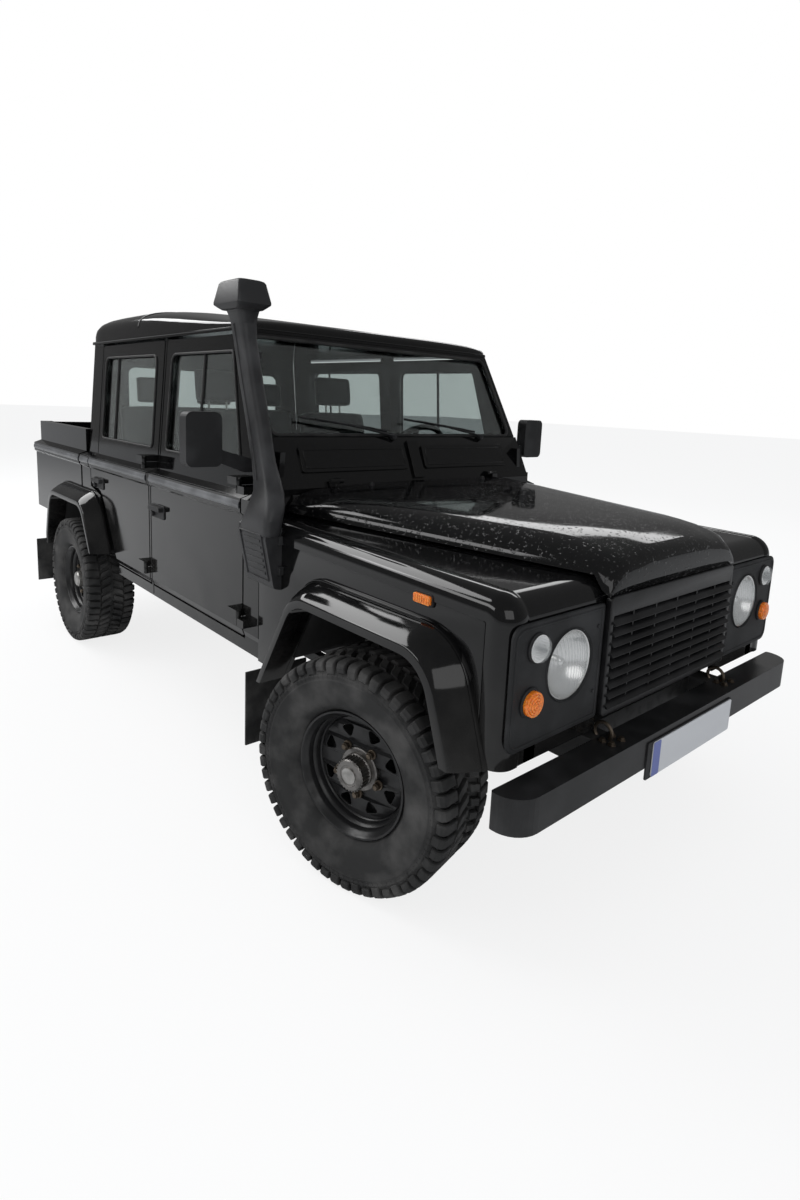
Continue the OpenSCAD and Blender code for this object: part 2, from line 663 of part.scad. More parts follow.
// Top face of the wing, sloping down to the lamps
function wing_top_z(x) =
    wing_front_z + (wing_rear_z - wing_front_z) * (wing_front_x - x) / (wing_front_x - bulkhead_x);
module front_wing() {
    shelf_z = 990;
    web_t = 12;
    front_half = bonnet_front_half - 22;
    rear_half = bonnet_rear_half - 22;
    difference() {
        union() {
            // outer side
            along_y(skin_y - wall_t, skin_y) polygon(rounded([[bulkhead_x, sill_z],
                [bulkhead_x, wing_rear_z], [wing_front_x, wing_front_z], [wing_front_x, 640],
                [aft(-380), 640], [aft(-380), sill_z]], [0, 0, 75, 10, 0, 0]));
            // front face
            intersection() {
                block([wing_front_x - wall_t, 352, 640], [wing_front_x, skin_y, wing_front_z - 40]);
                along_z(600, 1200) polygon(rounded([[bulkhead_x, -skin_y], [bulkhead_x, skin_y],
                    [wing_front_x, skin_y], [wing_front_x, -skin_y]], [0, 0, 22, 22]));
            }
            intersection() {
                along_y(0, skin_y) polygon(rounded([[bulkhead_x, wing_rear_z],
                    [wing_front_x, wing_front_z], [wing_front_x, wing_front_z - 92],
                    [wing_front_x - 80, wing_front_z - 92], [wing_front_x - 80, wing_front_z - 20],
                    [bulkhead_x, wing_rear_z - 20]], [0, 75, 0, 0, 0, 0]));
                along_z(600, 1200) polygon([[wing_front_x, front_half], [wing_front_x, skin_y],
                    [bulkhead_x, skin_y], [bulkhead_x, rear_half]]);
            }
            // inner wing
            block([bulkhead_x, 430, 742], [wing_front_x - wall_t + 1, 448, shelf_z + 18]);
            block([bulkhead_x, 430, shelf_z], [wing_front_x - wall_t + 1, skin_y - 1, shelf_z + 18]);
            intersection() {
                along_z(shelf_z + 17, wing_rear_z) polygon([[wing_front_x - 1, front_half],
                    [wing_front_x - 1, front_half + web_t], [bulkhead_x, rear_half + web_t],
                    [bulkhead_x, rear_half]]);
                along_y(0, skin_y) polygon([[bulkhead_x, 900], [bulkhead_x, wing_rear_z - 1],
                    [wing_front_x - 60, wing_front_z - 2], [wing_front_x - 60, 900]]);
            }
        }
        along_y(skin_y - wall_t - 20, skin_y + 20) front_arch();
    }
}
module front_wing_left() stand() color("black") front_wing();
module front_wing_right() stand() color("black") flipped() front_wing();

flare_out = 95;
// A flat rim and a sloped face, open to the wheel; its two legs end at their own heights
module flare(steep_end, gentle_end) {
    difference() {
        hull() {
            along_y(skin_y, skin_y + 1) polygon(flare_outline);
            along_y(skin_y + flare_out - 1, skin_y + flare_out) offset(delta = 14) polygon(arch_outline);
        }
        along_y(skin_y - 1, skin_y + flare_out + 1) polygon(arch_outline);
        block([0, skin_y - 1, 0], [700, skin_y + flare_out + 1, axle_z + steep_end]);
        block([-700, skin_y - 1, 0], [1, skin_y + flare_out + 1, axle_z + gentle_end]);
    }
}
module wheel_arch_flares() {
    stand() color("black") both() union() {
        translate([body_x, 0, 0]) flare(240, 150);
        translate([rx, 0, 0]) mirror([1, 0, 0]) flare(150, 250);
    }
}

panel_t = 8;
lamp_y = 548;
lamp_z = 880;
module lamp_panels() {
    stand() color("dimgray") both() along_x(wing_front_x, wing_front_x + panel_t)
        polygon(rounded(box_outline(398, 692, skin_y - 12, 1024), [12, 34, 34, 12]));
}
module lamps() {
    face_x = wing_front_x + panel_t;
    tail_lamp_y = skin_y - 52;
    stand() color("white") union() {
        both() {
            rod_x(face_x, face_x + 16, lamp_y, lamp_z, 92);
            rod_x(face_x, face_x + 26, 696, 959, 37);
            rod_x(face_x, face_x + 34, 712, 817, 37);
            block([aft(-205), skin_y, 1012], [aft(-275), skin_y + 14, 1042]);
            for (z = [800, 900, 1000]) rod_x(bed_x1 - 20, bed_x1, tail_lamp_y, z, 40);
        }
    }
}

module grille() {
    half = 385;
    z0 = 690;
    z1 = 1040;
    slats = 9;
    pitch = (z1 - z0 - 40) / slats;
    stand() color("dimgray") difference() {
        along_x(wing_front_x, wing_front_x + 16) polygon(rounded(box_outline(-half, z0, half, z1), 24));
        for (i = [0:slats - 1])
            block([wing_front_x - 1, -half + 26, z0 + 24 + i * pitch],
                [wing_front_x + 20, half - 26, z0 + 12 + (i + 1) * pitch]);
    }
}

module front_bumper() {
    plate_t = 5;
    front = nose_x - plate_t;
    stand() color("black") union() {
        along_z(520, 620) polygon(rounded([[aft(-548), -840], [front, -840], [front, 840],
            [aft(-548), 840]], [10, 80, 80, 10], 8));
        block([front - 1, -225, 486], [nose_x, 295, 596]);
    }
}

// Bonnet: rings across the car, each with rounded shoulders
function bonnet_half(x) = bonnet_rear_half + (bonnet_front_half - bonnet_rear_half) *
    (x - bulkhead_x) / (wing_front_x - bulkhead_x);
function bonnet_ring(x, drop, inset, low) =
    let (w = bonnet_half(x) - inset, z0 = low, z1 = wing_top_z(x) + bonnet_rise - drop - inset,
        r = min(48, (z1 - z0) * 0.9))
    reversed(concat([[x, -w, z0]],
        [for (a = [180:-22.5:90]) [x, -w + r + r * cos(a), z1 - r + r * sin(a)]],
        [[x, -w * 0.4, z1 + 12], [x, w * 0.4, z1 + 12]],
        [for (a = [90:-22.5:0]) [x, w - r + r * cos(a), z1 - r + r * sin(a)]],
        [[x, w, z0]]));
module skin(rings) {
    n = len(rings[0]);
    m = len(rings);
    function at(j, i) = j * n + i % n;
    polyhedron(points = [for (r = rings) each r], faces = concat(
        [[for (i = [0:n - 1]) i]],
        [for (j = [0:m - 2], i = [0:n - 1]) [at(j, i), at(j + 1, i), at(j + 1, i + 1), at(j, i + 1)]],
        [[for (i = [n - 1:-1:0]) at(m - 1, i)]]), convexity = 6);
}
bonnet_x0 = bulkhead_x + 12;
bonnet_x1 = wing_front_x + 18;
module bonnet_shape(inset, low) {
    lead = bonnet_x1 - inset;
    stations = [[bonnet_x0 + inset, 0], [bonnet_x0 + 300, 0], [bonnet_x0 + 600, 0], [lead - 330, 0],
        [lead - 140, 6], [lead - 60, 20], [lead - 22, 38], [lead, 62]];
    skin([for (s = stations) bonnet_ring(s[0], s[1], inset, wing_top_z(s[0]) + low)]);
}
bonnet_hinge_x = bulkhead_x + 8;
bonnet_hinge_z = wing_rear_z + bonnet_rise + 24;
module bonnet() {
    y0 = bonnet_hinge_y + 0.3;
    y1 = bonnet_hinge_y + 35;
    stand() color("black") difference() {
        union() {
            bonnet_shape(0, 5);
            both() {
                rod_y(bonnet_hinge_x, y0, y1, bonnet_hinge_z, 10);
                along_y(y0, y1) polygon([[bonnet_hinge_x, bonnet_hinge_z - 9],
                    [bonnet_hinge_x, bonnet_hinge_z + 9], [bonnet_x0 + 60, bonnet_hinge_z - 8],
                    [bonnet_x0 + 60, bonnet_hinge_z - 30], [bonnet_x0 + 8, bonnet_hinge_z - 30]]);
            }
        }
        bonnet_shape(bonnet_t, -20);
        both() rod_y(bonnet_hinge_x, y0 - 1, y1 + 1, bonnet_hinge_z, 5 + pin_gap);
    }
}

// ---- load bed ----

module load_bed() {
    tier_y = skin_y - 34;
    tier_t = 40;
    side = skin_y - wall_t;
    post_y = skin_y - 104;
    under_z = bed_floor_z - floor_t;
    stand() color("black") union() {
        difference() {
            union() {
                both() along_x(bed_x1, bed_x0) polygon([[side, 720], [skin_y, 720], [skin_y, capping_z],
                    [skin_y + capping_out, capping_z + 12], [skin_y + capping_out, waist_z - 18],
                    [tier_y, waist_z], [tier_y, bed_rail_z], [tier_y - tier_t, bed_rail_z],
                    [tier_y - tier_t, waist_z - 30], [side, waist_z - 60]]);
                block([bed_x0 - wall_t, -arch_half, step_z], [bed_x0, arch_half, bed_rail_z]);
                block([bed_x0 - wall_t, -tier_y, under_z], [bed_x0, tier_y, bed_rail_z]);
                both() block([bed_x1, post_y, 744], [bed_x1 + 60, tier_y, bed_rail_z]);
                both() block([bed_x1, post_y, 720], [bed_x1 + 60, skin_y - 1, waist_z - 20]);
            }
            both() along_y(skin_y - 120, body_w) rear_arch();
        }
        block([bed_x1 + 42, -side - 1, under_z], [bed_x0 - 1, side + 1, bed_floor_z]);
        // inner panels over the tops of the wheel arches
        both() block([rx - 470, side - 14, under_z], [bed_x0 - 1, side + 1, arch_top_z + 20]);
        for (x = [bed_x0 - 90, rx - 300, rx - 600, bed_x1 + 70])
            block([x, -arch_half, rail_rear_top_z], [x + 50, arch_half, under_z + 1]);
        // fixed halves of the tailgate hinges
        both() {
            block([tail_hinge_x, tail_hinge_y, tail_hinge_z - 13],
                [bed_x1 + 90, tail_hinge_y + 40, tail_hinge_z - 4]);
            rod_y(tail_hinge_x, tail_hinge_y, tail_hinge_y + 40, tail_hinge_z, 13);
            rod_y(tail_hinge_x, tail_hinge_y - 80, tail_hinge_y + 40, tail_hinge_z, 6);
        }
    }
}

tailgate_half = skin_y - 110;
tailgate_z0 = bed_floor_z - 12;
tail_hinge_x = bed_x1 - 6;
tail_hinge_y = tailgate_half - 150;
tail_hinge_z = tailgate_z0 - 2;
module tailgate() {
    stand() color("black") difference() {
        union() {
            block([bed_x1, -tailgate_half, tailgate_z0], [bed_x1 + 36, tailgate_half, bed_rail_z - 4]);
            both() rod_y(tail_hinge_x, tail_hinge_y - 80, tail_hinge_y - 0.3, tail_hinge_z, 13);
        }
        both() rod_y(tail_hinge_x, tail_hinge_y - 81, tail_hinge_y + 1, tail_hinge_z, 6 + pin_gap);
        both() rod_y(tail_hinge_x, tail_hinge_y - 0.3, tail_hinge_y + 45, tail_hinge_z, 18);
    }
}

module mudflaps() {
    flap_t = 8;
    stand() color("black") both() {
        block([aft(590), skin_y - 170, 268], [aft(590) + flap_t, skin_y + 92, sill_z]);
        block([rx - 560, skin_y - 150, 280], [rx - 560 + flap_t, skin_y + 128, 560]);
        block([rx - 560, skin_y - 70, 559], [rx - 560 + flap_t, skin_y, 720]);
    }
}

// ---- snorkel ----

// Its housing on the wing, a tube that follows the windscreen frame, and the air intake on top
module snorkel() {
    // rings across the tube: height, x centre, y centre, half length, half width
    levels = [[1075, 592, 836, 100, 34], [1128, 566, 839, 92, 37], [1181, 566, 822, 78, 38],
        [1217, 584, 806, 64, 37], [1255, 614, 795, 58, 35], [1322, 655, 787, 50, 31],
        [1465, 704, 785, 50, 31], [1609, 755, 785, 50, 31], [1754, 800, 785, 49, 31],
        [1810, 806, 788, 52, 35], [1858, 788, 802, 64, 46]];
    head = [[1856, 70, 50], [1866, 88, 60], [1876, 98, 68], [1948, 80, 54], [1956, 70, 46]];
    function ring(x, y, z, a, b, cut) = [for (p = [[a, b - cut], [a - cut, b], [-a + cut, b],
        [-a, b - cut], [-a, -b + cut], [-a + cut, -b], [a - cut, -b], [a, -b + cut]])
        [x + p.x, y + p.y, z]];
    stand() color("black") flipped() union() {
        intersection() {
            along_y(skin_y, skin_y + 70)
                polygon(rounded(box_outline(aft(700), 872, aft(495), capping_z - 1), 24));
            along_x(aft(700), aft(495)) polygon([[skin_y, 872], [skin_y + 30, 880],
                [skin_y + 68, 1060], [skin_y + 66, capping_z], [skin_y, capping_z]]);
        }
        skin([for (l = levels) ring(aft(l[1]), l[2], l[0], l[3], l[4], l[4] * 0.55)]);
        skin([for (h = head) ring(aft(775), 812, h[0], h[1], h[2], h[2] * 0.45)]);
    }
}

// ---- doors ----

hinge_y = skin_y + hinge_out;
knuckle_r = 11;
leaf_h = 30;
function hinge_x(door_x) = door_x + hinge_lead;
// Leaf between the hinge pin and the body's side, from x0 to x1
module leaf(x0, x1, z0, z1) {
    outer = hinge_y + knuckle_r - 2;
    along_x(x0, x1) polygon([[leaf_y(z0), z0], [outer, z0], [outer, z1], [leaf_y(z1), z1]]);
}
function leaf_y(z) = z > waist_z ? side_y(z) : skin_y;
module fixed_hinge(door_x, reach) {
    for (z = [low_hinge_z, high_hinge_z]) {
        x = hinge_x(door_x);
        leaf(x, x + reach, z - leaf_h, z - 0.3);
        rod_z(x, hinge_y, z - leaf_h, z - 0.3, knuckle_r);
        rod_z(x, hinge_y, z - 1, z + leaf_h, hinge_pin_r);
    }
}
module door_hinges() {
    stand() color("black") both() {
        fixed_hinge(door_x0, 56);
        fixed_hinge(rear_door_x0, 8);
    }
}
module hung(door_x, reach) {
    difference() {
        union() {
            children();
            for (z = [low_hinge_z, high_hinge_z]) {
                x = hinge_x(door_x);
                leaf_in(x - reach, x, z, z + leaf_h);
                rod_z(x, hinge_y, z, z + leaf_h, knuckle_r);
            }
        }
        for (z = [low_hinge_z, high_hinge_z])
            rod_z(hinge_x(door_x), hinge_y, z - 1, z + leaf_h + 1, hinge_pin_r + pin_gap);
    }
}
// The door's leaf runs a little way into the door
module leaf_in(x0, x1, z0, z1) {
    along_x(x0, x1 - hinge_lead - 1)
        polygon([[leaf_y(z0) - 10, z0], [hinge_y, z0], [hinge_y, z1], [leaf_y(z1) - 10, z1]]);
    block([x1 - hinge_lead - 2, hinge_y - 6, z0], [x1, hinge_y + knuckle_r, z1]);
    block([x0, hinge_y - 6, z0], [x1 - hinge_lead, hinge_y + knuckle_r, z1]);
}
module door_slab(outline, window) {
    difference() {
        side_slab(skin_line(), inner_line(door_t, frame_t), outline);
        along_y(0, body_w) polygon(window);
    }
}
module door_glass(window) {
    inset = 12;
    line = function (d) [[side_y(1200) - d, 1200], [side_y(1780) - d, 1780]];
    stand() color("slategray", 0.5) side_slab(line(inset), line(inset + glass_t), window);
}
module front_door() {
    stand() color("black") hung(door_x0, 70) door_slab(front_door_outline(), front_window());
}
module rear_door() {
    stand() color("black") hung(rear_door_x0, 70) door_slab(rear_door_outline(), rear_window());
}
module front_door_left() front_door();
module front_door_right() flipped() front_door();
module rear_door_left() rear_door();
module rear_door_right() flipped() rear_door();
module front_glass_left() door_glass(front_window());
module front_glass_right() flipped() door_glass(front_window());
module rear_glass_left() door_glass(rear_window());
module rear_glass_right() flipped() door_glass(rear_window());

mirror_half_y = 70;
mirror_y = 950;
module door_mirror() {
    head_x = aft(822);
    stand() color("black") union() {
        along_x(head_x - 28, head_x + 28) polygon(rounded(box_outline(mirror_y - mirror_half_y, 1288,
            mirror_y + mirror_half_y, 1488), 26));
        hull() {
            along_x(head_x - 14, head_x + 14) polygon([[side_y(1262), 1262], [side_y(1262) + 30, 1262],
                [side_y(1312) + 30, 1312], [side_y(1312), 1312]]);
            block([head_x - 10, mirror_y - mirror_half_y - 1, 1300],
                [head_x + 10, mirror_y - mirror_half_y + 4, 1350]);
        }
    }
}
module mirror_left() door_mirror();
module mirror_right() flipped() door_mirror();

// ---- wheels and steering ----

// What turns with a front wheel: side is 1 on the left and -1 on the right
module steered(side) {
    kingpin = [fx, side * kingpin_y, 0];
    translate(kingpin) rotate([0, 0, steer]) translate(-kingpin) children();
}
module knuckle() {
    housing_r = 100;
    stand() color("dimgray") difference() {
        union() {
            rod_y(fx, kingpin_y - 16, kingpin_y + 84, axle_z, housing_r);
            rod_y(fx, kingpin_y + 80, wheel_y + disc_offset - 10, axle_z, stub_r);
            // steering arm
            block([fx - arm_l - 18, kingpin_y - 30, axle_z - 92], [fx - 60, kingpin_y + 10, axle_z - 62]);
            block([fx - 90, kingpin_y - 16, axle_z - 92], [fx - 20, kingpin_y + 60, axle_z - 40]);
        }
        rod_y(fx, kingpin_y - 100, kingpin_y + swivel_r + swivel_gap, axle_z, swivel_r + swivel_gap);
    }
}
module knuckle_left() steered(1) knuckle();
module knuckle_right() steered(-1) flipped() knuckle();
module track_rod() {
    rod_r = 14;
    half = kingpin_y - 24;
    stand() color("gray") translate([0, -arm_l * sin(steer), 0])
        rod_y(fx - arm_l * cos(steer), -half, half, axle_z - 92 - rod_r - 0.5, rod_r);
}

// Drawn with the wheel's axis along Z, its outside up and its centre plane at 0
module rim_shape() {
    half = rim_w / 2;
    flange_t = 8;
    well_r = rim_seat_r - 12;
    disc_t = 8;
    hub_r = 76;
    window_r0 = 100;
    window_r1 = 152;
    window_half = 33;
    step = 360 / vents;
    difference() {
        union() {
            rotate_extrude($fn = 96) polygon([[well_r - 6, -half], [rim_flange_r, -half],
                [rim_flange_r, -half + flange_t], [rim_seat_r, -half + flange_t],
                [rim_seat_r, half - flange_t], [rim_flange_r, half - flange_t], [rim_flange_r, half],
                [well_r - 6, half]]);
            translate([0, 0, disc_offset - disc_t]) cylinder(h = disc_t, r = well_r, $fn = 96);
            translate([0, 0, -22]) cylinder(h = disc_offset + 20, r = hub_r - 6, $fn = 64);
            translate([0, 0, -22]) cylinder(h = 12, r = 149, $fn = 64);
            cylinder(h = disc_offset + hub_cap_h, r = hub_cap_r, $fn = 64);
            for (i = [0:4]) rotate([0, 0, i * 72 + 18]) translate([nut_pcd / 2, 0, disc_offset - 1])
                cylinder(h = 22, r = 13, $fn = 6);
        }
        translate([0, 0, -23]) cylinder(h = 23 + disc_offset - 8, r = stub_r + hub_gap, $fn = 64);
        for (i = [0:vents - 1])
            rotate([0, 0, (i + 0.5) * step]) along_z(-5, disc_offset + 5)
                polygon(rounded([[window_r0, 0], [window_r1, -window_half], [window_r1, window_half]], 9, 4));
    }
}
module tyre_shape() {
    half = rim_w / 2 - 8;
    bulge = tyre_w / 2;
    tread = tyre_w / 2 - 20;
    side = [[rim_seat_r, half], [rim_flange_r + 2, half], [rim_flange_r + 12, bulge - 22],
        [rim_flange_r + 50, bulge - 4], [(rim_flange_r + tyre_r) / 2 + 8, bulge],
        [tyre_r - 42, bulge - 3], [tyre_r - 14, bulge - 10], [tyre_r, tread]];
    rotate_extrude($fn = 96) polygon(concat(side, [for (p = reversed(side)) [p.x, -p.y]]));
}
module at_wheel(x) translate([x, wheel_y, axle_z]) rotate([-90, 0, 0]) children();
module front_left_rim() stand() color("black") steered(1) at_wheel(fx) rim_shape();
module front_right_rim() stand() color("black") steered(-1) flipped() at_wheel(fx) rim_shape();
module rear_left_rim() stand() color("black") at_wheel(rx) rim_shape();
module rear_right_rim() stand() color("black") flipped() at_wheel(rx) rim_shape();
module front_left_tyre() stand() color("black") steered(1) at_wheel(fx) tyre_shape();
module front_right_tyre() stand() color("black") steered(-1) flipped() at_wheel(fx) tyre_shape();
module rear_left_tyre() stand() color("black") at_wheel(rx) tyre_shape();
module rear_right_tyre() stand() color("black") flipped() at_wheel(rx) tyre_shape();

chassis_frame();
front_axle();
rear_axle();
springs_and_dampers();
drivetrain();
exhaust();
fuel_tank();
bulkhead();
windscreen_frame();
cab_floor();
rear_floor();
cab_sides();
cab_rear_panel();
roof();
cab_glass();
dashboard();
front_seats();
rear_seat();
front_wing_left();
front_wing_right();
wheel_arch_flares();
lamp_panels();
lamps();
grille();
front_bumper();
load_bed();
mudflaps();
snorkel();
door_hinges();
bonnet();
tailgate();
steering_wheel();
front_door_left();
front_door_right();
rear_door_left();
rear_door_right();
front_glass_left();
front_glass_right();
rear_glass_left();
rear_glass_right();
mirror_left();
mirror_right();
knuckle_left();
knuckle_right();
track_rod();
front_left_rim();
front_right_rim();
rear_left_rim();
rear_right_rim();
front_left_tyre();
front_right_tyre();
rear_left_tyre();
rear_right_tyre();
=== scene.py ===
import json
from math import atan2, copysign, cos, dist, exp, hypot, pi, radians, sin, sqrt, tan

import bmesh
import bpy
from mathutils import Matrix, Vector


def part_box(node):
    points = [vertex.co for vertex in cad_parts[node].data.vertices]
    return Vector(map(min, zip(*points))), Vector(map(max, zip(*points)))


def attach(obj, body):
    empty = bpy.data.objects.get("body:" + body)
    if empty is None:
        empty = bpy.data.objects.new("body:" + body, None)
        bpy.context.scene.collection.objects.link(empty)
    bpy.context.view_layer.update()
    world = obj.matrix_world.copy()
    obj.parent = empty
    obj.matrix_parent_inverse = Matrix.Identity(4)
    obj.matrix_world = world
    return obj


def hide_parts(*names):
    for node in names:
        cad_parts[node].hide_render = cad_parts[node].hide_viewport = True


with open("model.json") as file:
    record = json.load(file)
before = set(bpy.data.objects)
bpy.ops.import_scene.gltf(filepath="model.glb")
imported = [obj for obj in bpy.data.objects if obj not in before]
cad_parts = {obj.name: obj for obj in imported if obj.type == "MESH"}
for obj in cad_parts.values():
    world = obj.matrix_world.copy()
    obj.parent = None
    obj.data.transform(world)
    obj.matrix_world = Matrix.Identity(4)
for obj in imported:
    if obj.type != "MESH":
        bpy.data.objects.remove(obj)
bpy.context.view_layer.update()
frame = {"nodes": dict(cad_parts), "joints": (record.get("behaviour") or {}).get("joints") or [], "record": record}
NODES = frame["nodes"]
scene = bpy.context.scene


# ---------- camera, light, floor
def on_axes(x, y, z, place):
    """A matrix with these three axes, at a place."""
    return Matrix.Translation(place) @ Matrix((x, y, z)).transposed().to_4x4()


def put(name, data):
    o = bpy.data.objects.new(name, data)
    scene.collection.objects.link(o)
    return o


GLOSSY_WORLD = 0.16     # share of the white world that glossy rays see
CAMERA_FLOOR = 0.82     # share of plain white in the floor for the camera
GLOSSY_FLOOR = 0.5      # share of grey in the floor for glossy rays


def aim_camera():
    yaw, pitch, roll = (radians(a) for a in (138.64, -9.64, 2.53))
    forward = Vector((cos(pitch) * cos(yaw), cos(pitch) * sin(yaw), sin(pitch)))
    right = forward.cross(Vector((0, 0, 1))).normalized()
    up = right.cross(forward)
    r = cos(roll) * right + sin(roll) * up
    u = -sin(roll) * right + cos(roll) * up
    data = bpy.data.cameras.new("camera")
    data.sensor_width = 36
    data.lens = 20.47
    data.shift_x = 0.0008
    data.shift_y = -0.0677
    data.clip_end = 200
    cam = put("camera", data)
    cam.matrix_world = on_axes(r, u, -forward, (3.1325, -2.05, 1.525))
    scene.camera = cam


def area_light(name, place, target, size, watts):
    data = bpy.data.lights.new(name, "AREA")
    data.shape = "RECTANGLE"
    data.size, data.size_y = size
    data.energy = watts
    o = put(name, data)
    o.location = place
    o.rotation_euler = (Vector(target) - Vector(place)).to_track_quat("-Z", "Y").to_euler()


def set_sockets(node, **values):
    for key, value in values.items():
        node.inputs[key.replace("_", " ")].default_value = value


def math_node(tree, operation, first, second):
    """A Math node whose two inputs are sockets or numbers."""
    node = tree.nodes.new("ShaderNodeMath")
    node.operation = operation
    for entry, value in zip(node.inputs, (first, second)):
        if isinstance(value, (int, float)):
            entry.default_value = value
        else:
            tree.links.new(value, entry)
    return node.outputs[0]


def blend_node(tree, share, first, second):
    node = tree.nodes.new("ShaderNodeMixShader")
    for entry, socket in zip(node.inputs, (share, first, second)):
        tree.links.new(socket, entry)
    return node.outputs[0]


def glow_node(tree, kind, color, strength=1.0):
    node = tree.nodes.new("ShaderNode" + kind)
    set_sockets(node, Color=(*color, 1), Strength=strength)
    return node.outputs[0]


def light_scene():
    """White to the camera and through glass; glossy rays see a share of it over black."""
    world = bpy.data.worlds.new("studio")
    scene.world = world
    world.use_nodes = True
    tree = world.node_tree
    tree.nodes.clear()
    path = tree.nodes.new("ShaderNodeLightPath").outputs
    sky = math_node(tree, "MULTIPLY", path["Is Glossy Ray"], GLOSSY_WORLD)
    seen = math_node(tree, "MAXIMUM", path["Is Camera Ray"], sky)
    seen = math_node(tree, "MAXIMUM", seen, path["Is Transmission Ray"])
    white = glow_node(tree, "Background", (1, 1, 1))
    fill = glow_node(tree, "Background", (0.93, 0.96, 1.0), 0.62)
    dark = glow_node(tree, "Background", (0, 0, 0))
    dim = blend_node(tree, path["Is Glossy Ray"], fill, dark)
    out = tree.nodes.new("ShaderNodeOutputWorld")
    tree.links.new(blend_node(tree, seen, dim, white), out.inputs["Surface"])
    area_light("band_rear", (-7.2, -3.4, 8.0), (0, 0, 1.0), (8, 5.5), 640)
    area_light("band_right", (-3.5, -8.0, 5.6), (0, 0, 0.8), (8, 2.0), 190)
    area_light("band_left", (-3.0, 7.0, 5.5), (0, 0, 0.9), (7, 1.5), 90)
    area_light("band_front", (7.0, -3.0, 4.0), (1, 0, 0.9), (5, 3.5), 70)
    scene.view_settings.view_transform = "Standard"


def lay_floor():
    """A pale floor that the camera sees mostly as white, and glossy rays half as grey."""
    mesh = bpy.data.meshes.new("floor")
    r = 60
    mesh.from_pydata([(-r, -r, 0), (r, -r, 0), (r, r, 0), (-r, r, 0)], [], [(0, 1, 2, 3)])
    m = bpy.data.materials.new("floor")
    m.use_nodes = True
    tree = m.node_tree
    base = tree.nodes["Principled BSDF"]
    set_sockets(base, Base_Color=(0.92, 0.92, 0.92, 1), Roughness=0.9, Specular_IOR_Level=0.1)
    path = tree.nodes.new("ShaderNodeLightPath").outputs
    white = glow_node(tree, "Emission", (1, 1, 1))
    grey = glow_node(tree, "Emission", (0.2, 0.2, 0.2))
    share = math_node(tree, "MULTIPLY", path["Is Camera Ray"], CAMERA_FLOOR)
    half = math_node(tree, "MULTIPLY", path["Is Glossy Ray"], GLOSSY_FLOOR)
    dim = blend_node(tree, half, blend_node(tree, share, base.outputs[0], white), grey)
    tree.links.new(dim, tree.nodes["Material Output"].inputs["Surface"])
    mesh.materials.append(m)
    put("floor", mesh)


# ---------- materials
class Surface:
    """A Principled shader whose colour, roughness and bump vary in the piece's own coordinates."""

    def __init__(self, name, color, rough, metallic=0.0, **sockets):
        self.mat = bpy.data.materials.new(name)
        self.mat.use_nodes = True
        self.nodes, self.links = self.mat.node_tree.nodes, self.mat.node_tree.links
        self.bsdf = self.nodes["Principled BSDF"]
        set_sockets(self.bsdf, Base_Color=(*color, 1), Roughness=rough, Metallic=metallic, **sockets)
        self.coords = self.nodes.new("ShaderNodeTexCoord").outputs["Object"]

    def texture(self, kind, scale, **values):
        tex = self.nodes.new("ShaderNodeTex" + kind)
        set_sockets(tex, Scale=scale, **values)
        self.links.new(self.coords, tex.inputs["Vector"])
        return tex

    def noise(self, scale, detail):
        return self.texture("Noise", scale, Detail=detail).outputs["Fac"]

    def span(self, value, low, high, top=1.0):
        node = self.nodes.new("ShaderNodeMapRange")
        set_sockets(node, From_Min=low, From_Max=high, To_Max=top)
        self.links.new(value, node.inputs[0])
        return node.outputs[0]

    def height(self, low, high):
        axis = self.nodes.new("ShaderNodeSeparateXYZ")
        self.links.new(self.coords, axis.inputs[0])
        return self.span(axis.outputs["Z"], low, high)

    def times(self, a, b):
        return math_node(self.mat.node_tree, "MULTIPLY", a, b)

    def mix_over(self, socket, kind, share, value):
        """Mixes value over what the shader's socket has now."""
        entry = self.bsdf.inputs[socket]
        mix = self.nodes.new("ShaderNodeMix")
        mix.data_type = kind
        self.links.new(share, mix.inputs["Factor"])
        if entry.is_linked:
            self.links.new(entry.links[0].from_socket, mix.inputs["A"])
        else:
            mix.inputs["A"].default_value = entry.default_value
        mix.inputs["B"].default_value = value
        self.links.new(mix.outputs["Result"], entry)

    def stain(self, share, color, rough=None):
        """Mixes another colour, and roughness, over what is there by share."""
        self.mix_over("Base Color", "RGBA", share, (*color, 1))
        if rough is not None:
            self.mix_over("Roughness", "FLOAT", share, rough)

    def bump(self, height, strength, distance):
        node = self.nodes.new("ShaderNodeBump")
        set_sockets(node, Strength=strength, Distance=distance)
        self.links.new(height, node.inputs["Height"])
        if self.bsdf.inputs["Normal"].is_linked:
            self.links.new(self.bsdf.inputs["Normal"].links[0].from_socket, node.inputs["Normal"])
        self.links.new(node.outputs[0], self.bsdf.inputs["Normal"])


def paint(name, wet=False):
    s = Surface(name, (0.003, 0.003, 0.0032), 0.07, Specular_IOR_Level=0.5)
    s.bump(s.noise(2.2, 2), 0.06, 0.01)
    if wet:
        specks = s.span(s.noise(90, 2), 0.62, 0.7)
        s.bump(specks, 0.6, 0.0015)
        s.stain(s.times(specks, 0.5), (0.06, 0.06, 0.06), 0.3)
    low = s.times(s.height(1.0, 0.45), s.span(s.noise(5.5, 6), 0.35, 0.8))
    s.stain(s.times(low, 0.4), (0.08, 0.077, 0.072), 0.45)
    s.stain(s.times(s.span(s.noise(40, 8), 0.5, 0.8), 0.12), (0.02, 0.02, 0.02), 0.3)
    return s.mat


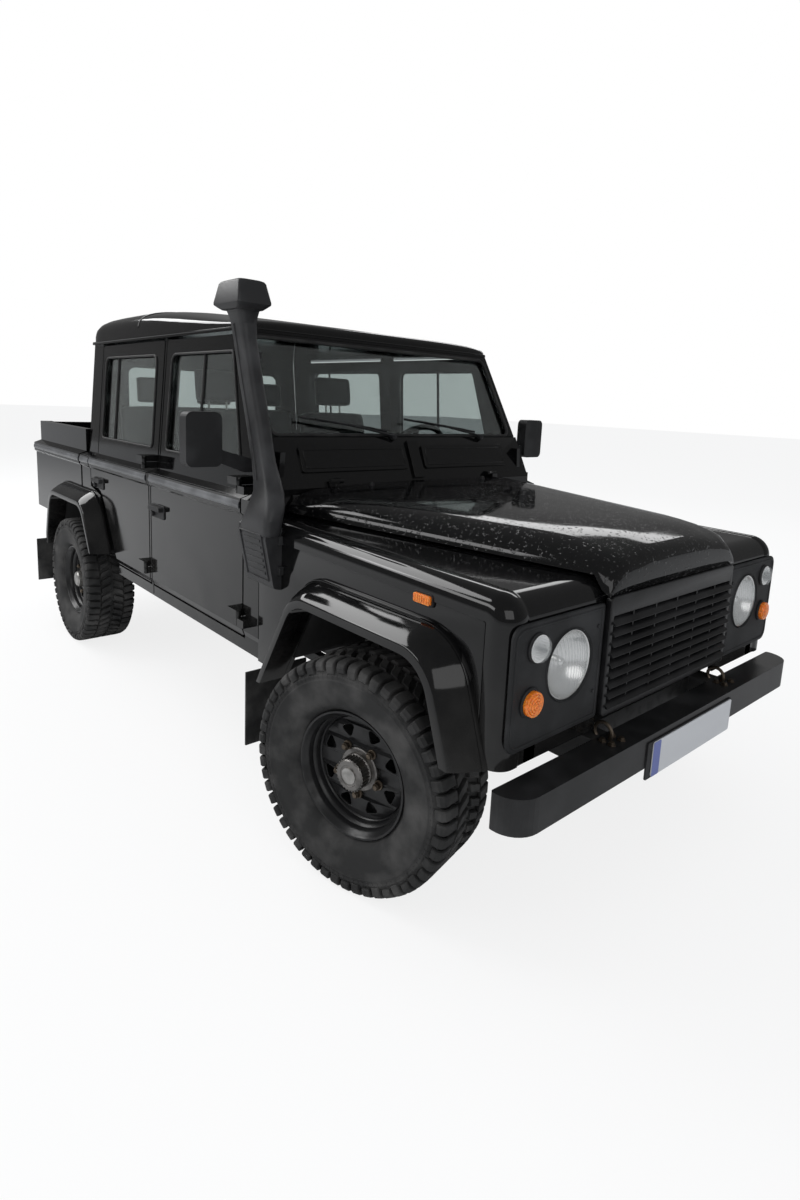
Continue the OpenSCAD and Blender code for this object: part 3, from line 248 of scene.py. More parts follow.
def plastic(name, color, rough, grain=900):
    s = Surface(name, color, rough, Specular_IOR_Level=0.35)
    s.bump(s.noise(grain, 3), 0.25, 0.0006)
    pale = tuple(c * 2.2 + 0.01 for c in color)
    s.stain(s.span(s.noise(7, 6), 0.45, 0.85), pale, min(1, rough + 0.12))
    return s.mat


def metal(name, color, rough, metallic=1.0):
    s = Surface(name, color, rough, metallic)
    s.bump(s.noise(220, 5), 0.2, 0.0008)
    s.stain(s.span(s.noise(22, 7), 0.5, 0.8), tuple(c * 0.35 for c in color), min(1, rough + 0.25))
    return s.mat


def rubber(name, color, rough, dirt):
    s = Surface(name, color, rough)
    s.bump(s.noise(260, 6), 0.35, 0.001)
    s.stain(s.span(s.noise(9, 7), 0.42, 0.8, dirt), (0.13, 0.125, 0.12), 0.95)
    return s.mat


def tinted(name, color):
    s = Surface(name, color, 0.12, Coat_Weight=0.5, Subsurface_Weight=0.35, Subsurface_Scale=0.01)
    s.stain(s.span(s.noise(160, 3), 0.35, 0.7), tuple(c * 0.55 for c in color), 0.2)
    return s.mat


def fluted(name, color):
    s = Surface(name, color, 0.06, Alpha=0.16)
    wave = s.texture("Wave", 9)
    wave.bands_direction = "Y"
    s.bump(wave.outputs["Fac"], 0.5, 0.002)
    return s.mat


def glass(name, color):
    return Surface(name, color, 0.0, Transmission_Weight=1.0, IOR=1.45).mat


def fabric(name, color):
    s = Surface(name, color, 0.9, Sheen_Weight=0.4, Sheen_Roughness=0.5)
    wave = s.texture("Wave", 260, Distortion=1.5)
    s.bump(wave.outputs["Fac"], 0.5, 0.0006)
    s.stain(s.span(s.noise(600, 3), 0.4, 0.7), tuple(c * 1.9 for c in color))
    s.stain(s.span(s.noise(6, 5), 0.5, 0.8, 0.5), tuple(c * 0.6 for c in color))
    return s.mat


PAINT = paint("gloss_black_paint")
PAINT_WET = paint("bonnet_paint", wet=True)
SNORKEL = plastic("snorkel_plastic", (0.022, 0.022, 0.023), 0.42)
GRILLE = plastic("grille_plastic", (0.006, 0.006, 0.0065), 0.3)
CAPPING = plastic("capping_strip", (0.09, 0.092, 0.096), 0.33, 300)
TRIM_DARK = plastic("arch_liner", (0.006, 0.006, 0.006), 0.8)
PLATE = Surface("blank_plate", (0.55, 0.56, 0.58), 0.5).mat
BAND = Surface("plate_band", (0.12, 0.15, 0.38), 0.4).mat
NUT = metal("worn_nut", (0.2, 0.165, 0.13), 0.45)
HUB = metal("hub_casting", (0.27, 0.26, 0.25), 0.42)
CHROME = Surface("bright_reflector", (0.95, 0.95, 0.94), 0.24, 1.0).mat
PLASTIC = plastic("black_plastic", (0.014, 0.014, 0.015), 0.5)
GREY = plastic("grey_plastic", (0.014, 0.0145, 0.0155), 0.6)
TRIM = plastic("cab_trim", (0.035, 0.035, 0.037), 0.6, 500)
CHASSIS = metal("chassis_paint", (0.02, 0.02, 0.02), 0.5, 0.0)
SPRING = metal("spring_paint", (0.03, 0.03, 0.033), 0.35, 0.0)
CAST = metal("cast_metal", (0.16, 0.16, 0.16), 0.55)
STEEL = metal("bare_steel", (0.55, 0.54, 0.52), 0.3)
EXHAUST = metal("exhaust_steel", (0.3, 0.27, 0.23), 0.45)
BUMPER = plastic("bumper_paint", (0.012, 0.012, 0.0125), 0.33, 500)
RIM = metal("wheel_paint", (0.012, 0.012, 0.0125), 0.3, 0.0)
RUBBER = rubber("flap_rubber", (0.012, 0.012, 0.012), 0.7, 0.6)
TYRE = rubber("tyre_rubber", (0.014, 0.014, 0.014), 0.7, 0.55)
SEAL = rubber("seal_rubber", (0.01, 0.01, 0.01), 0.55, 0.2)
GLASS = glass("tinted_glass", (0.55, 0.6, 0.59))
CLEAR = glass("clear_lens", (0.95, 0.97, 0.97))
FLUTED = fluted("fluted_lens", (0.7, 0.72, 0.72))
AMBER = tinted("amber_lens", (0.95, 0.24, 0.02))
RED = tinted("red_lens", (0.62, 0.015, 0.012))
FABRIC = fabric("seat_cloth", (0.03, 0.031, 0.034))
SLOT_LOOK = {
    "black_paint": PAINT, "chassis_black": CHASSIS, "spring_steel": SPRING, "cast_metal": CAST,
    "exhaust_steel": EXHAUST, "black_plastic": PLASTIC, "grey_plastic": GREY, "cab_trim": TRIM,
    "seat_fabric": FABRIC, "glass": GLASS, "lamp_lens": CLEAR, "bumper_steel": BUMPER, "rubber": RUBBER,
    "wheel_steel": RIM, "tyre": TYRE,
}


# ---------- places, from the frame
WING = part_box("front_wing_right")
BODY_X = WING[0][0] + 0.66
SKIN = -WING[0][1]
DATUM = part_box("cab_sides")[0][2] - 0.555
BULKHEAD_X = WING[0][0]
WING_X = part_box("lamp_panels")[0][0]
JOINTS = {joint["name"]: joint for joint in frame["joints"]}
REAR_X = JOINTS["rear_left_spin"]["pos_m"][0]
CAB_REAR_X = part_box("cab_rear_panel")[0][0]
BED_REAR_X = -2.2075
DOWN = Matrix.Translation((0, 0, DATUM))
MIRROR = Matrix.Diagonal((1, -1, 1, 1))
STAND_UP = Matrix(((0, 0, 1, 0), (1, 0, 0, 0), (0, 1, 0, 0), (0, 0, 0, 1)))


def at(x, y, z):
    return Matrix.Translation((x, y, z))


def turned(degrees, axis):
    return Matrix.Rotation(radians(degrees), 4, axis)


def aft(d):
    return BODY_X - d


def screen_x(z):
    return aft(0.752) - (z - 1.4) * tan(radians(27))


def side_y(z):
    return SKIN - 0.044 - 0.052 * (z - 1.184) / 0.636


def wing_top(x):
    return 1.094 + 0.026 * (WING_X - x) / (WING_X - BULKHEAD_X)


def bonnet_half(x):
    return 0.69 - 0.293 * (x - BULKHEAD_X) / (WING_X - BULKHEAD_X)


# ---------- mesh helpers
def mm(*rows):
    """Rows of millimetres, turned to metres."""
    return [tuple(value / 1000 for value in row) for row in rows]


def rounded(points, radii, n=6):
    """An outline whose corners are arcs; radii is one number or one for each corner."""
    out = []
    for i, p in enumerate(points):
        r = radii[i] if isinstance(radii, (list, tuple)) else radii
        c, a, b = Vector(p), Vector(points[i - 1]), Vector(points[(i + 1) % len(points)])
        if r <= 0:
            out.append(tuple(c))
            continue
        u, v = (a - c).normalized(), (b - c).normalized()
        half = u.angle(v) / 2
        o = c + (u + v).normalized() * r / sin(half)
        p0, p1 = c + u * r / tan(half), c + v * r / tan(half)
        a0 = atan2(p0.y - o.y, p0.x - o.x)
        turn = (atan2(p1.y - o.y, p1.x - o.x) - a0 + 3 * pi) % (2 * pi) - pi
        out += [(o.x + r * cos(a0 + turn * k / n), o.y + r * sin(a0 + turn * k / n)) for k in range(n + 1)]
    return out


def oblong(u0, v0, u1, v1, r, n=6):
    return rounded([(u0, v0), (u1, v0), (u1, v1), (u0, v1)], r, n)


def circle(u, v, r, n=32):
    return [(u + r * cos(2 * pi * k / n), v + r * sin(2 * pi * k / n)) for k in range(n)]


class Shape:
    """Vertices and faces of a piece while it is put together."""

    def __init__(self):
        self.v, self.f = [], []

    def add(self, verts, faces, place=None):
        base = len(self.v)
        self.v += [place @ Vector(p) if place else Vector(p) for p in verts]
        flip = place is not None and place.determinant() < 0
        self.f += [tuple(base + i for i in (reversed(f) if flip else f)) for f in faces]
        return self

    def join(self, other, place=None):
        return self.add(other.v, other.f, place)

    def both(self):
        """Adds the mirror image on the other side of the vehicle."""
        n = len(self.v)
        self.v += [Vector((p.x, -p.y, p.z)) for p in self.v]
        self.f += [tuple(n + i for i in reversed(f)) for f in self.f]
        return self

    def loft(self, rings, closed=True, caps=True, loop=False, place=None):
        n, m = len(rings[0]), len(rings)
        verts = [p for ring in rings for p in ring]
        faces = []
        for j in range(m if loop else m - 1):
            k = (j + 1) % m
            for i in range(n if closed else n - 1):
                h = (i + 1) % n
                faces.append((j * n + i, j * n + h, k * n + h, k * n + i))
        if caps and not loop:
            faces.append(tuple(range(n))[::-1])
            faces.append(tuple((m - 1) * n + i for i in range(n)))
        return self.add(verts, faces, place)

    def prism(self, outline, axis, low, high, place=None):
        """An outline drawn across axis, solid from low to high."""
        lay = {"X": lambda p, t: (t, *p), "Y": lambda p, t: (p[0], t, p[1]), "Z": lambda p, t: (*p, t)}[axis]
        return self.loft([[lay(p, low) for p in outline], [lay(p, high) for p in outline]], place=place)

    def box(self, low, high, place=None):
        return self.prism([(low[0], low[1]), (high[0], low[1]), (high[0], high[1]), (low[0], high[1])], "Z",
                          low[2], high[2], place)

    def lathe(self, profile, n=48, closed=False, place=None):
        """A profile of (radius, place on Y) turned round the Y axis."""
        turn = [2 * pi * k / n for k in range(n)]
        rings = [[(r * cos(a), t, r * sin(a)) for a in turn] for r, t in profile]
        return self.loft(rings, loop=closed, place=place)

    def tube(self, points, radius, n=8, loop=False, place=None):
        points = [Vector(p) for p in points]
        m = len(points)
        turn = [2 * pi * k / n for k in range(n)]
        up, rings = None, []
        for i, p in enumerate(points):
            a = points[i - 1] if i or loop else p
            b = points[(i + 1) % m] if i < m - 1 or loop else p
            along = (b - a).normalized()
            if up is None:
                up = along.orthogonal()
            up = (up - along * up.dot(along)).normalized()
            side = along.cross(up)
            rings.append([p + radius * (cos(t) * up + sin(t) * side) for t in turn])
        return self.loft(rings, loop=loop, place=place)


def plate(outline, holes, thick, edge=0.0):
    """A flat plate with holes, drawn in X and Y, its middle at Z = 0."""
    data = bpy.data.curves.new("plate", "CURVE")
    data.dimensions = "2D"
    data.fill_mode = "BOTH"
    data.extrude = thick / 2 - edge
    data.bevel_depth = edge
    data.bevel_resolution = 2
    for ring in [outline] + list(holes):
        s = data.splines.new("POLY")
        s.points.add(len(ring) - 1)
        for point, p in zip(s.points, ring):
            point.co = (p[0], p[1], 0, 1)
        s.use_cyclic_u = True
    o = put("plate", data)
    mesh = bpy.data.meshes.new_from_object(o.evaluated_get(bpy.context.evaluated_depsgraph_get()))
    shape = Shape().add([v.co for v in mesh.vertices], [tuple(p.vertices) for p in mesh.polygons])
    bpy.data.objects.remove(o)
    bpy.data.curves.remove(data)
    bpy.data.meshes.remove(mesh)
    return shape


def on_side(shape, key):
    """A shape drawn for the left side, mirrored where the key is right."""
    return shape if key == "left" else Shape().join(shape, MIRROR)


def piece(name, shape, look, body="chassis", stands_for=(), bevel=0.0, angle=35,
          place=DOWN):
    mesh = bpy.data.meshes.new(name)
    mesh.from_pydata([place @ p for p in shape.v], [], shape.f)
    mesh.validate()
    bm = bmesh.new()
    bm.from_mesh(mesh)
    bmesh.ops.remove_doubles(bm, verts=bm.verts, dist=1e-5)
    bmesh.ops.recalc_face_normals(bm, faces=bm.faces)
    bm.to_mesh(mesh)
    bm.free()
    mesh.materials.append(look)
    o = put(name, mesh)
    soften(o, bevel, angle)
    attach(o, body)
    if stands_for:
        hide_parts(*([stands_for] if isinstance(stands_for, str) else stands_for))
    return o


def soften(o, bevel, angle=35):
    o.data.shade_smooth()
    o.data.set_sharp_from_angle(angle=radians(angle))
    if bevel:
        round_edges(o, bevel, angle)


def round_edges(o, width, angle):
    m = o.modifiers.new("edge", "BEVEL")
    m.width = width
    m.segments = 3
    m.limit_method = "ANGLE"
    m.angle_limit = radians(angle)
    m.harden_normals = True


# ---------- wheels
WHEELS = ("front_left", "front_right", "rear_left", "rear_right")


def wheel_frame(key):
    """The wheel's own frame: Y points out of the vehicle, Z up."""
    joint = JOINTS[key + "_spin"]
    centre, axis = Vector(joint["pos_m"]), Vector(joint["axis"])
    out, up = axis if centre.y > 0 else -axis, Vector((0, 0, 1))
    return on_axes(out.cross(up), out, up, centre)


def tyre_shape(r=0.375, half=0.1325):
    s = Shape()
    side = mm((196, 86), (206, 88.5), (213, 96), (218, 108.5), (232, 119.5), (258, 126.2), (285, 129.2),
              (306, 129.8), (309, 131.5), (313, 131.5), (316, 129.6), (322, 129.2), (325, 130.8),
              (329, 130.8), (332, 128), (345, 121), (354, 112), (360.5, 98), (361.2, 50), (361.2, 0))
    s.lathe([(q, -t) for q, t in side] + [(q, t) for q, t in side[-2::-1]], 132, closed=True)
    pitches = 52
    for k in range(pitches):
        for sign in (-1, 1):
            a = 2 * pi * (k + (0.5 if sign > 0 else 0)) / pitches
            reach = 0.336 if k % 2 else 0.345
            shoulder = [(r, 0.068, 0.004), (r, 0.096, 0), (r - 0.0015, 0.114, -0.001),
                        (r - 0.007, 0.126, -0.001), (r - 0.018, half, 0), (reach, half - 0.0008, 0),
                        (reach - 0.005, half - 0.006, 0)]
            lug(s, a, [(q, sign * t, d) for q, t, d in shoulder], 0.0165, 0.012, sign)
            inner = [(r, 0.008, -0.02), (r, 0.026, -0.01), (r, 0.04, -0.006), (r, 0.06, 0.005)]
            lug(s, a + 0.036, [(q, sign * t, d) for q, t, d in inner], 0.0135, 0.013, sign)
    for k in range(pitches * 2):
        a = pi * (k + 0.25) / pitches
        for sign in (-1, 1):
            rib = [(0.334, sign * 0.1285, 0), (0.3275, sign * 0.1318, 0), (0.32, sign * 0.1305, 0)]
            lug(s, a, rib, 0.0035, 0.004, sign)
    return s


def lug(s, angle, path, half_width, depth, sign):
    """A tread block along a path of (radius, place across the tyre, shift round it)."""
    rings = []
    for q, t, shift in path:
        ring = []
        for w, drop in ((-1.12, depth), (-1.0, 0.003), (-0.82, 0), (0.82, 0), (1.0, 0.003), (1.12, depth)):
            a = angle + (shift + w * half_width) / 0.375
            flat = max(0.0, 1 - max(0.0, abs(t) - 0.09) / 0.045)
            rr, tt = q - drop * flat, t - sign * drop * (1 - flat)
            ring.append((rr * cos(a), tt, rr * sin(a)))
        rings.append(ring)
    s.loft(rings)


def rim_shape():
    s = Shape()
    lip = mm((192.5, 80), (193.5, 88.5), (202, 89.5), (206, 94), (204.5, 97.5), (198.5, 97.5), (194.5, 93),
             (191.5, 86), (186.5, 81.5), (183.5, 74), (182.5, 60), (177, 55), (173.5, 47), (172.5, 36),
             (166, 30), (163, 22), (165, -20), (170, -60), (180, -75), (190, -90), (204, -97.5), (206, -94),
             (193, -86), (184.5, -70), (174, -55), (170, -20), (176, 30), (184, 52), (188, 74))
    s.lathe(lip, 96, closed=True)
    windows = []
    for k in range(8):
        a = pi * (2 * k + 1) / 8
        tri = rounded([(0.098, 0), (0.146, -0.034), (0.146, 0.034)], [0.011, 0.01, 0.01], 5)
        windows.append([(x * cos(a) - y * sin(a), x * sin(a) + y * cos(a)) for x, y in tri])
    disc = plate(circle(0, 0, 0.1655, 96), windows, 0.006, 0.0015)
    dish = Shape()
    for p in disc.v:
        q = hypot(p.x, p.y)
        sunk = 0.041 - 0.01 * max(0, (q - 0.15) / 0.016) + 0.006 * (q < 0.096)
        dish.v.append(Vector((p.x, p.z + sunk, p.y)))
    dish.f = disc.f
    s.join(dish)
    return s


def hub_shape(front):
    s = Shape()
    s.lathe(mm((1, -20), (72, -20), (72, 48), (68, 51), (1, 51)), 48)
    if front:
        cap = mm((1, 50), (55, 50), (55, 58), (51, 62), (51, 94), (47, 99), (34, 100), (33, 98), (1, 98))
        s.lathe(cap, 64)
        for k in range(28):
            s.box((0.046, 0.06, -0.0022), (0.0535, 0.096, 0.0022), Matrix.Rotation(2 * pi * k / 28, 4, "Y"))
    else:
        s.lathe(mm((1, 50), (60, 50), (60, 56), (50, 60), (46, 85), (38, 92), (1, 94)), 64)
    return s


def nut_shape():
    s = Shape()
    for k in range(5):
        m = turned(72 * k + 18, "Y") @ at(0.0825, 0, 0)
        hexagon = [(0.0125 * cos(pi * i / 3), 0.0125 * sin(pi * i / 3)) for i in range(6)]
        s.lathe(mm((1, 46), (17, 46), (15, 51), (1, 52)), 24, place=m)
        s.prism(hexagon, "Y", 0.05, 0.064, m)
        s.lathe(mm((1, 63), (10.5, 63), (8.5, 69), (1, 72)), 20, place=m)
    return s


def build_wheels():
    tyre, rim, nuts = tyre_shape(), rim_shape(), nut_shape()
    for key in WHEELS:
        body, m = key + "_wheel", wheel_frame(key)
        front = key.startswith("front")
        piece(key + "_tyre_tread", tyre, TYRE, body, key + "_tyre", place=m, angle=32)
        piece(key + "_steel_wheel", rim, RIM, body, key + "_rim", place=m, angle=30)
        piece(key + "_wheel_nuts", nuts, NUT, body, bevel=0.0008, place=m)
        look = HUB if front else STEEL
        piece(key + "_hub", hub_shape(front), look, body, place=m, bevel=0.0008)
        drum = Shape().lathe(mm((1, -58), (150, -58), (152, -54), (152, -32), (146, -26), (80, -24),
                                (72, -14), (1, -14)), 48)
        piece(key + "_brake", drum, TRIM_DARK, body, place=m, bevel=0.001)
        if front:
            cap = Shape().lathe(mm((1, 97), (26, 97), (26, 101.5), (23, 103), (1, 103.5)), 48)
            piece(key + "_hub_cap", cap, STEEL, body, place=m)


# ---------- wings, flares, bonnet, roof
ARCH = mm((-520, 480), (-281, 890), (330, 890), (430, 610), (440, 300))
ARCH_BENDS = (0.12, 0.12, 0.06)
FLARE = mm((-560, 540), (-322, 974), (392, 974), (506, 635), (506, 300))

# share of the way from the arch to the flare's edge, and the place out from the door skin
FLARE_SECTION = [(0.02, 0.0945), (0.3, 0.0955), (0.34, 0.0945), (0.38, 0.0915), (0.48, 0.082), (0.6, 0.068),
                 (0.72, 0.051), (0.84, 0.032), (0.92, 0.017), (0.935, 0.0135), (0.95, 0.0155),
                 (0.975, 0.0155), (1.0, 0.011), (1.01, -0.004)]


def bent(points, radii, n=10, steps=4):
    """An open line with rounded bends, each straight cut into equal steps."""
    line = rounded(points, [0] + list(radii) + [0], n)
    out = []
    for a, b in zip(line, line[1:]):
        count = steps if dist(a, b) > 0.05 else 1
        out += [(a[0] + (b[0] - a[0]) * k / count, a[1] + (b[1] - a[1]) * k / count) for k in range(count)]
    return out + [line[-1]]


def level_ends(line, low_first, low_last):
    """Cuts the two ends of a line at their own heights."""
    def cut(a, b, z):
        t = (z - a[1]) / (b[1] - a[1])
        return (a[0] + (b[0] - a[0]) * t, z)
    while line[1][1] < low_first:
        line = line[1:]
    while line[-2][1] < low_last:
        line = line[:-1]
    return [cut(line[0], line[1], low_first)] + line[1:-1] + [cut(line[-2], line[-1], low_last)]


def flare_shape(first, last):
    inner = bent(ARCH, ARCH_BENDS)
    outer = bent(FLARE, (0.17, 0.19, 0.06))
    rings = []
    for p, q in zip(inner, outer):
        ring = [(p[0], SKIN - 0.02, p[1]), (p[0], SKIN + 0.088, p[1])]
        for u, y in FLARE_SECTION:
            ring.append((p[0] + (q[0] - p[0]) * u, SKIN + y, p[1] + (q[1] - p[1]) * u))
        rings.append(ring)
    kept = [r for i, r in enumerate(rings) if r[1][2] >= (first if i < len(rings) / 2 else last) - 0.0001]
    for end, low in ((0, first), (-1, last)):
        full = rings.index(kept[end])
        beyond = rings[full - 1] if end == 0 else rings[full + 1]
        ring = []
        for a, b in zip(kept[end], beyond):
            t = (low - a[2]) / (b[2] - a[2]) if abs(b[2] - a[2]) > 1e-6 else 0
            ring.append(tuple(a[i] + (b[i] - a[i]) * t for i in range(3)))
        kept = [ring] + kept if end == 0 else kept + [ring]
    return Shape().loft(kept)


def build_flares():
    s = Shape()
    s.join(flare_shape(0.55, 0.64), at(BODY_X, 0, 0))
    s.join(flare_shape(0.65, 0.55), at(REAR_X, 0, 0) @ Matrix.Diagonal((-1, 1, 1, 1)))
    piece("wheel_arch_flares_shell", s.both(), PAINT, stands_for="wheel_arch_flares", angle=28)
    s = Shape()
    for x, turn in ((BODY_X, 1), (REAR_X, -1)):
        arch = level_ends(bent(ARCH, ARCH_BENDS), 0.64, 0.6)
        rings = [[(x + turn * p[0], y, p[1] + 0.001) for p in arch] for y in (SKIN - 0.01, 0.47)]
        s.loft(rings, closed=False, caps=False)
    liners = piece("wheel_arch_liners", s.both(), TRIM_DARK)
    liners.modifiers.new("thick", "SOLIDIFY").thickness = 0.004


def build_wings():
    top = [(BULKHEAD_X, wing_top(BULKHEAD_X)), (WING_X, wing_top(WING_X)), (WING_X, 0.64)]
    line = bent(top, (0.075,), 10, 8)
    rings = []
    for i, p in enumerate(line):
        a, b = line[max(0, i - 1)], line[min(len(line) - 1, i + 1)]
        along = Vector((b[0] - a[0], b[1] - a[1])).normalized()
        normal = Vector((-along.y, along.x))
        y_in = bonnet_half(min(p[0], WING_X)) - 0.022 if p[1] > 1.0 else 0.655
        section = mm((-85, 792.5), (-75.5, 797), (-72, 803.5), (-55, 804.5))
        section += [(-0.055 + 0.055 * sin(radians(f)), 0.7495 + 0.055 * cos(radians(f)))
                    for f in range(9, 91, 9)]
        section += [(0.0, 0.73), (-0.0035, 0.723), (-0.004, 0.715), (-0.004, y_in), (-0.02, y_in),
                    (-0.02, 0.73)]
        rings.append([(p[0] + normal.x * n, y, p[1] + normal.y * n) for n, y in section])
    arch = level_ends([(BODY_X + u, v) for u, v in bent(ARCH, ARCH_BENDS)], 0.555, 0.64)
    panel = [(BULKHEAD_X, 0.555), (BULKHEAD_X, 1.049)]
    front_x = WING_X - 0.07
    panel += rounded([(BULKHEAD_X, 1.049), (front_x, 1.024), (front_x, 0.64)], [0, 0.03, 0], 6)[1:]
    side = plate(panel + arch[::-1], [], 0.004, 0.0008)
    upright = Matrix(((1, 0, 0, 0), (0, 0, -1, SKIN - 0.003), (0, 1, 0, 0), (0, 0, 0, 1)))
    for key in ("left", "right"):
        s = Shape().loft(rings).join(side, upright)
        s.box((WING_X - 0.02, 0.376, 0.64), (WING_X - 0.004, 0.7, 0.735))
        seam = [(WING_X - 0.078, SKIN - 0.0005, z) for z in (0.66, 0.8, 0.95, 1.03)]
        s.tube(seam, 0.0022, 6)
        s.join(inner_wing())
        piece("front_wing_%s_panel" % key, on_side(s, key), PAINT, stands_for="front_wing_" + key, angle=28)


def inner_wing():
    """The shelf and wall beside the engine, seen with the bonnet up."""
    s = Shape()
    s.box((BULKHEAD_X, 0.43, 0.742), (WING_X - 0.03, 0.448, 1.008))
    s.box((BULKHEAD_X, 0.43, 0.99), (WING_X - 0.03, SKIN - 0.02, 1.008))
    rings = []
    for x in (BULKHEAD_X, WING_X - 0.06):
        y, top = bonnet_half(x) - 0.022, wing_top(x) - 0.006
        rings.append([(x, y, 1.0), (x, y + 0.01, 1.0), (x, y + 0.01, top), (x, y, top)])
    return s.loft(rings)


def build_bonnet():
    lead = WING_X + 0.018
    lip = 1.043
    start = BULKHEAD_X + 0.012
    stations = [(start, 0.004), (start + 0.006, 0.0), (start + 0.2, 0), (start + 0.5, 0), (start + 0.8, 0),
                (lead - 0.26, 0), (lead - 0.19, 0.003), (lead - 0.13, 0.008), (lead - 0.085, 0.016),
                (lead - 0.05, 0.026), (lead - 0.025, 0.037), (lead - 0.01, 0.049), (lead - 0.003, 0.062),
                (lead, 0.08), (lead + 0.001, 0.105), (lead + 0.0015, 0.118)]
    shell = []
    for depth in (0.0, 0.014):
        rings = []
        for x, drop in stations:
            w, low, high = bonnet_half(x) - depth, wing_top(x) + 0.005, wing_top(x) + 0.088 - drop - depth
            low -= (low - lip) * min(1.0, max(0.0, (x - (lead - 0.05)) / 0.05)) ** 0.5
            high = max(high, low + 0.004)
            h = high - low
            bow = min(1.0, h / 0.08)
            slope = ((0, 0), (0.004, 0.22), (0.015, 0.44), (0.033, 0.63), (0.056, 0.79), (0.082, 0.905),
                     (0.11, 0.97))
            half = [(w - inset, low + share * h) for inset, share in slope]
            half += [(w - 0.17, high + 0.003 * bow), (w / 2, high + 0.01 * bow), (w / 5, high + 0.0125 * bow)]
            rings.append([(x, -y, z) for y, z in half] + [(x, y, z) for y, z in reversed(half)])
        shell.append(rings)
    s = Shape()
    inner = [[(min(x, lead - 0.012), y, z) for x, y, z in r] for r in shell[1]]
    rings = [o + list(reversed(n)) for o, n in zip(shell[0], inner)]
    s.loft(rings)
    for y in (-1, 1):
        s.box((start - 0.005, y * 0.4725 - 0.017, 1.2), (start + 0.05, y * 0.4725 + 0.017, 1.214))
        s.lathe(mm((1, -17), (10, -17), (10, 17), (1, 17)), 20,
                place=at(BULKHEAD_X + 0.008, y * 0.4728, 1.232))
        s.box((start - 0.01, y * 0.4725 - 0.017, 1.214), (start + 0.012, y * 0.4725 + 0.017, 1.232))
    piece("bonnet_shell", s, PAINT_WET, "bonnet", stands_for="bonnet", angle=30)


def build_roof():
    front = screen_x(1.82)
    profile = mm((0, 6, 30), (6, 22, 12), (18, 34, 2), (45, 42, 0), (130, 50, 0), (246, 64, 0),
                 (430, 88, 0), (626, 113, 0), (800, 132, 0), (926, 143, 0), (1080, 150, 0), (1226, 155, 0),
                 (1500, 155, 0), (1626, 152, 0), (1700, 144, 0), (1745, 128, 3), (1772, 102, 8),
                 (1787, 66, 16), (1792, 30, 26), (1794, 6, 32))
    rings = []
    for d, h, tuck in profile:
        half = 0.716 - tuck
        ring = []
        for k in range(41):
            c, t = cos(pi * k / 40), sin(pi * k / 40)
            bow = 0.0055 * (1 - (c * c))
            y = half * copysign(abs(c) ** 0.44, c)
            ring.append((front - d, y, 1.818 + h * abs(t) ** 0.44 + bow * min(1, h / 0.1)))
        rings.append(ring)
    s = Shape().loft(rings)
    lip = oblong(CAB_REAR_X, -0.7284, screen_x(1.812) + 0.004, 0.7284, 0.04, 6)
    s.prism(lip, "Z", 1.804, 1.8135)
    edge = oblong(CAB_REAR_X + 0.003, -0.7255, screen_x(1.812) + 0.001, 0.7255, 0.04, 6)
    s.tube([(x, y, 1.816) for x, y in edge], 0.0035, 8, loop=True)
    seam = [Vector(p) + Vector((0, 0, 0.0005)) for p in rings[10]]
    s.tube(seam[1:-1], 0.0035, 6)
    piece("roof_shell", s, PAINT, stands_for="roof", angle=32)


# ---------- front
def dome(r, h, n=5, base=0.004):
    """A rounded lens profile for the lathe, from its rim to its middle."""
    return [(r, 0), (r, base)] + [(r * cos(pi * k / 2 / n), base + (h - base) * sin(pi * k / 2 / n))
                                  for k in range(1, n)] + [(0.0008, h)]


def facing(x, y, z):
    """Puts a lathed lamp on a place that faces forward."""
    return at(x, y, z) @ turned(-90, "Z")


HEADLAMP = (0.548, 0.88)
SIDE_LAMP = (0.696, 0.959)
INDICATOR = (0.712, 0.817)


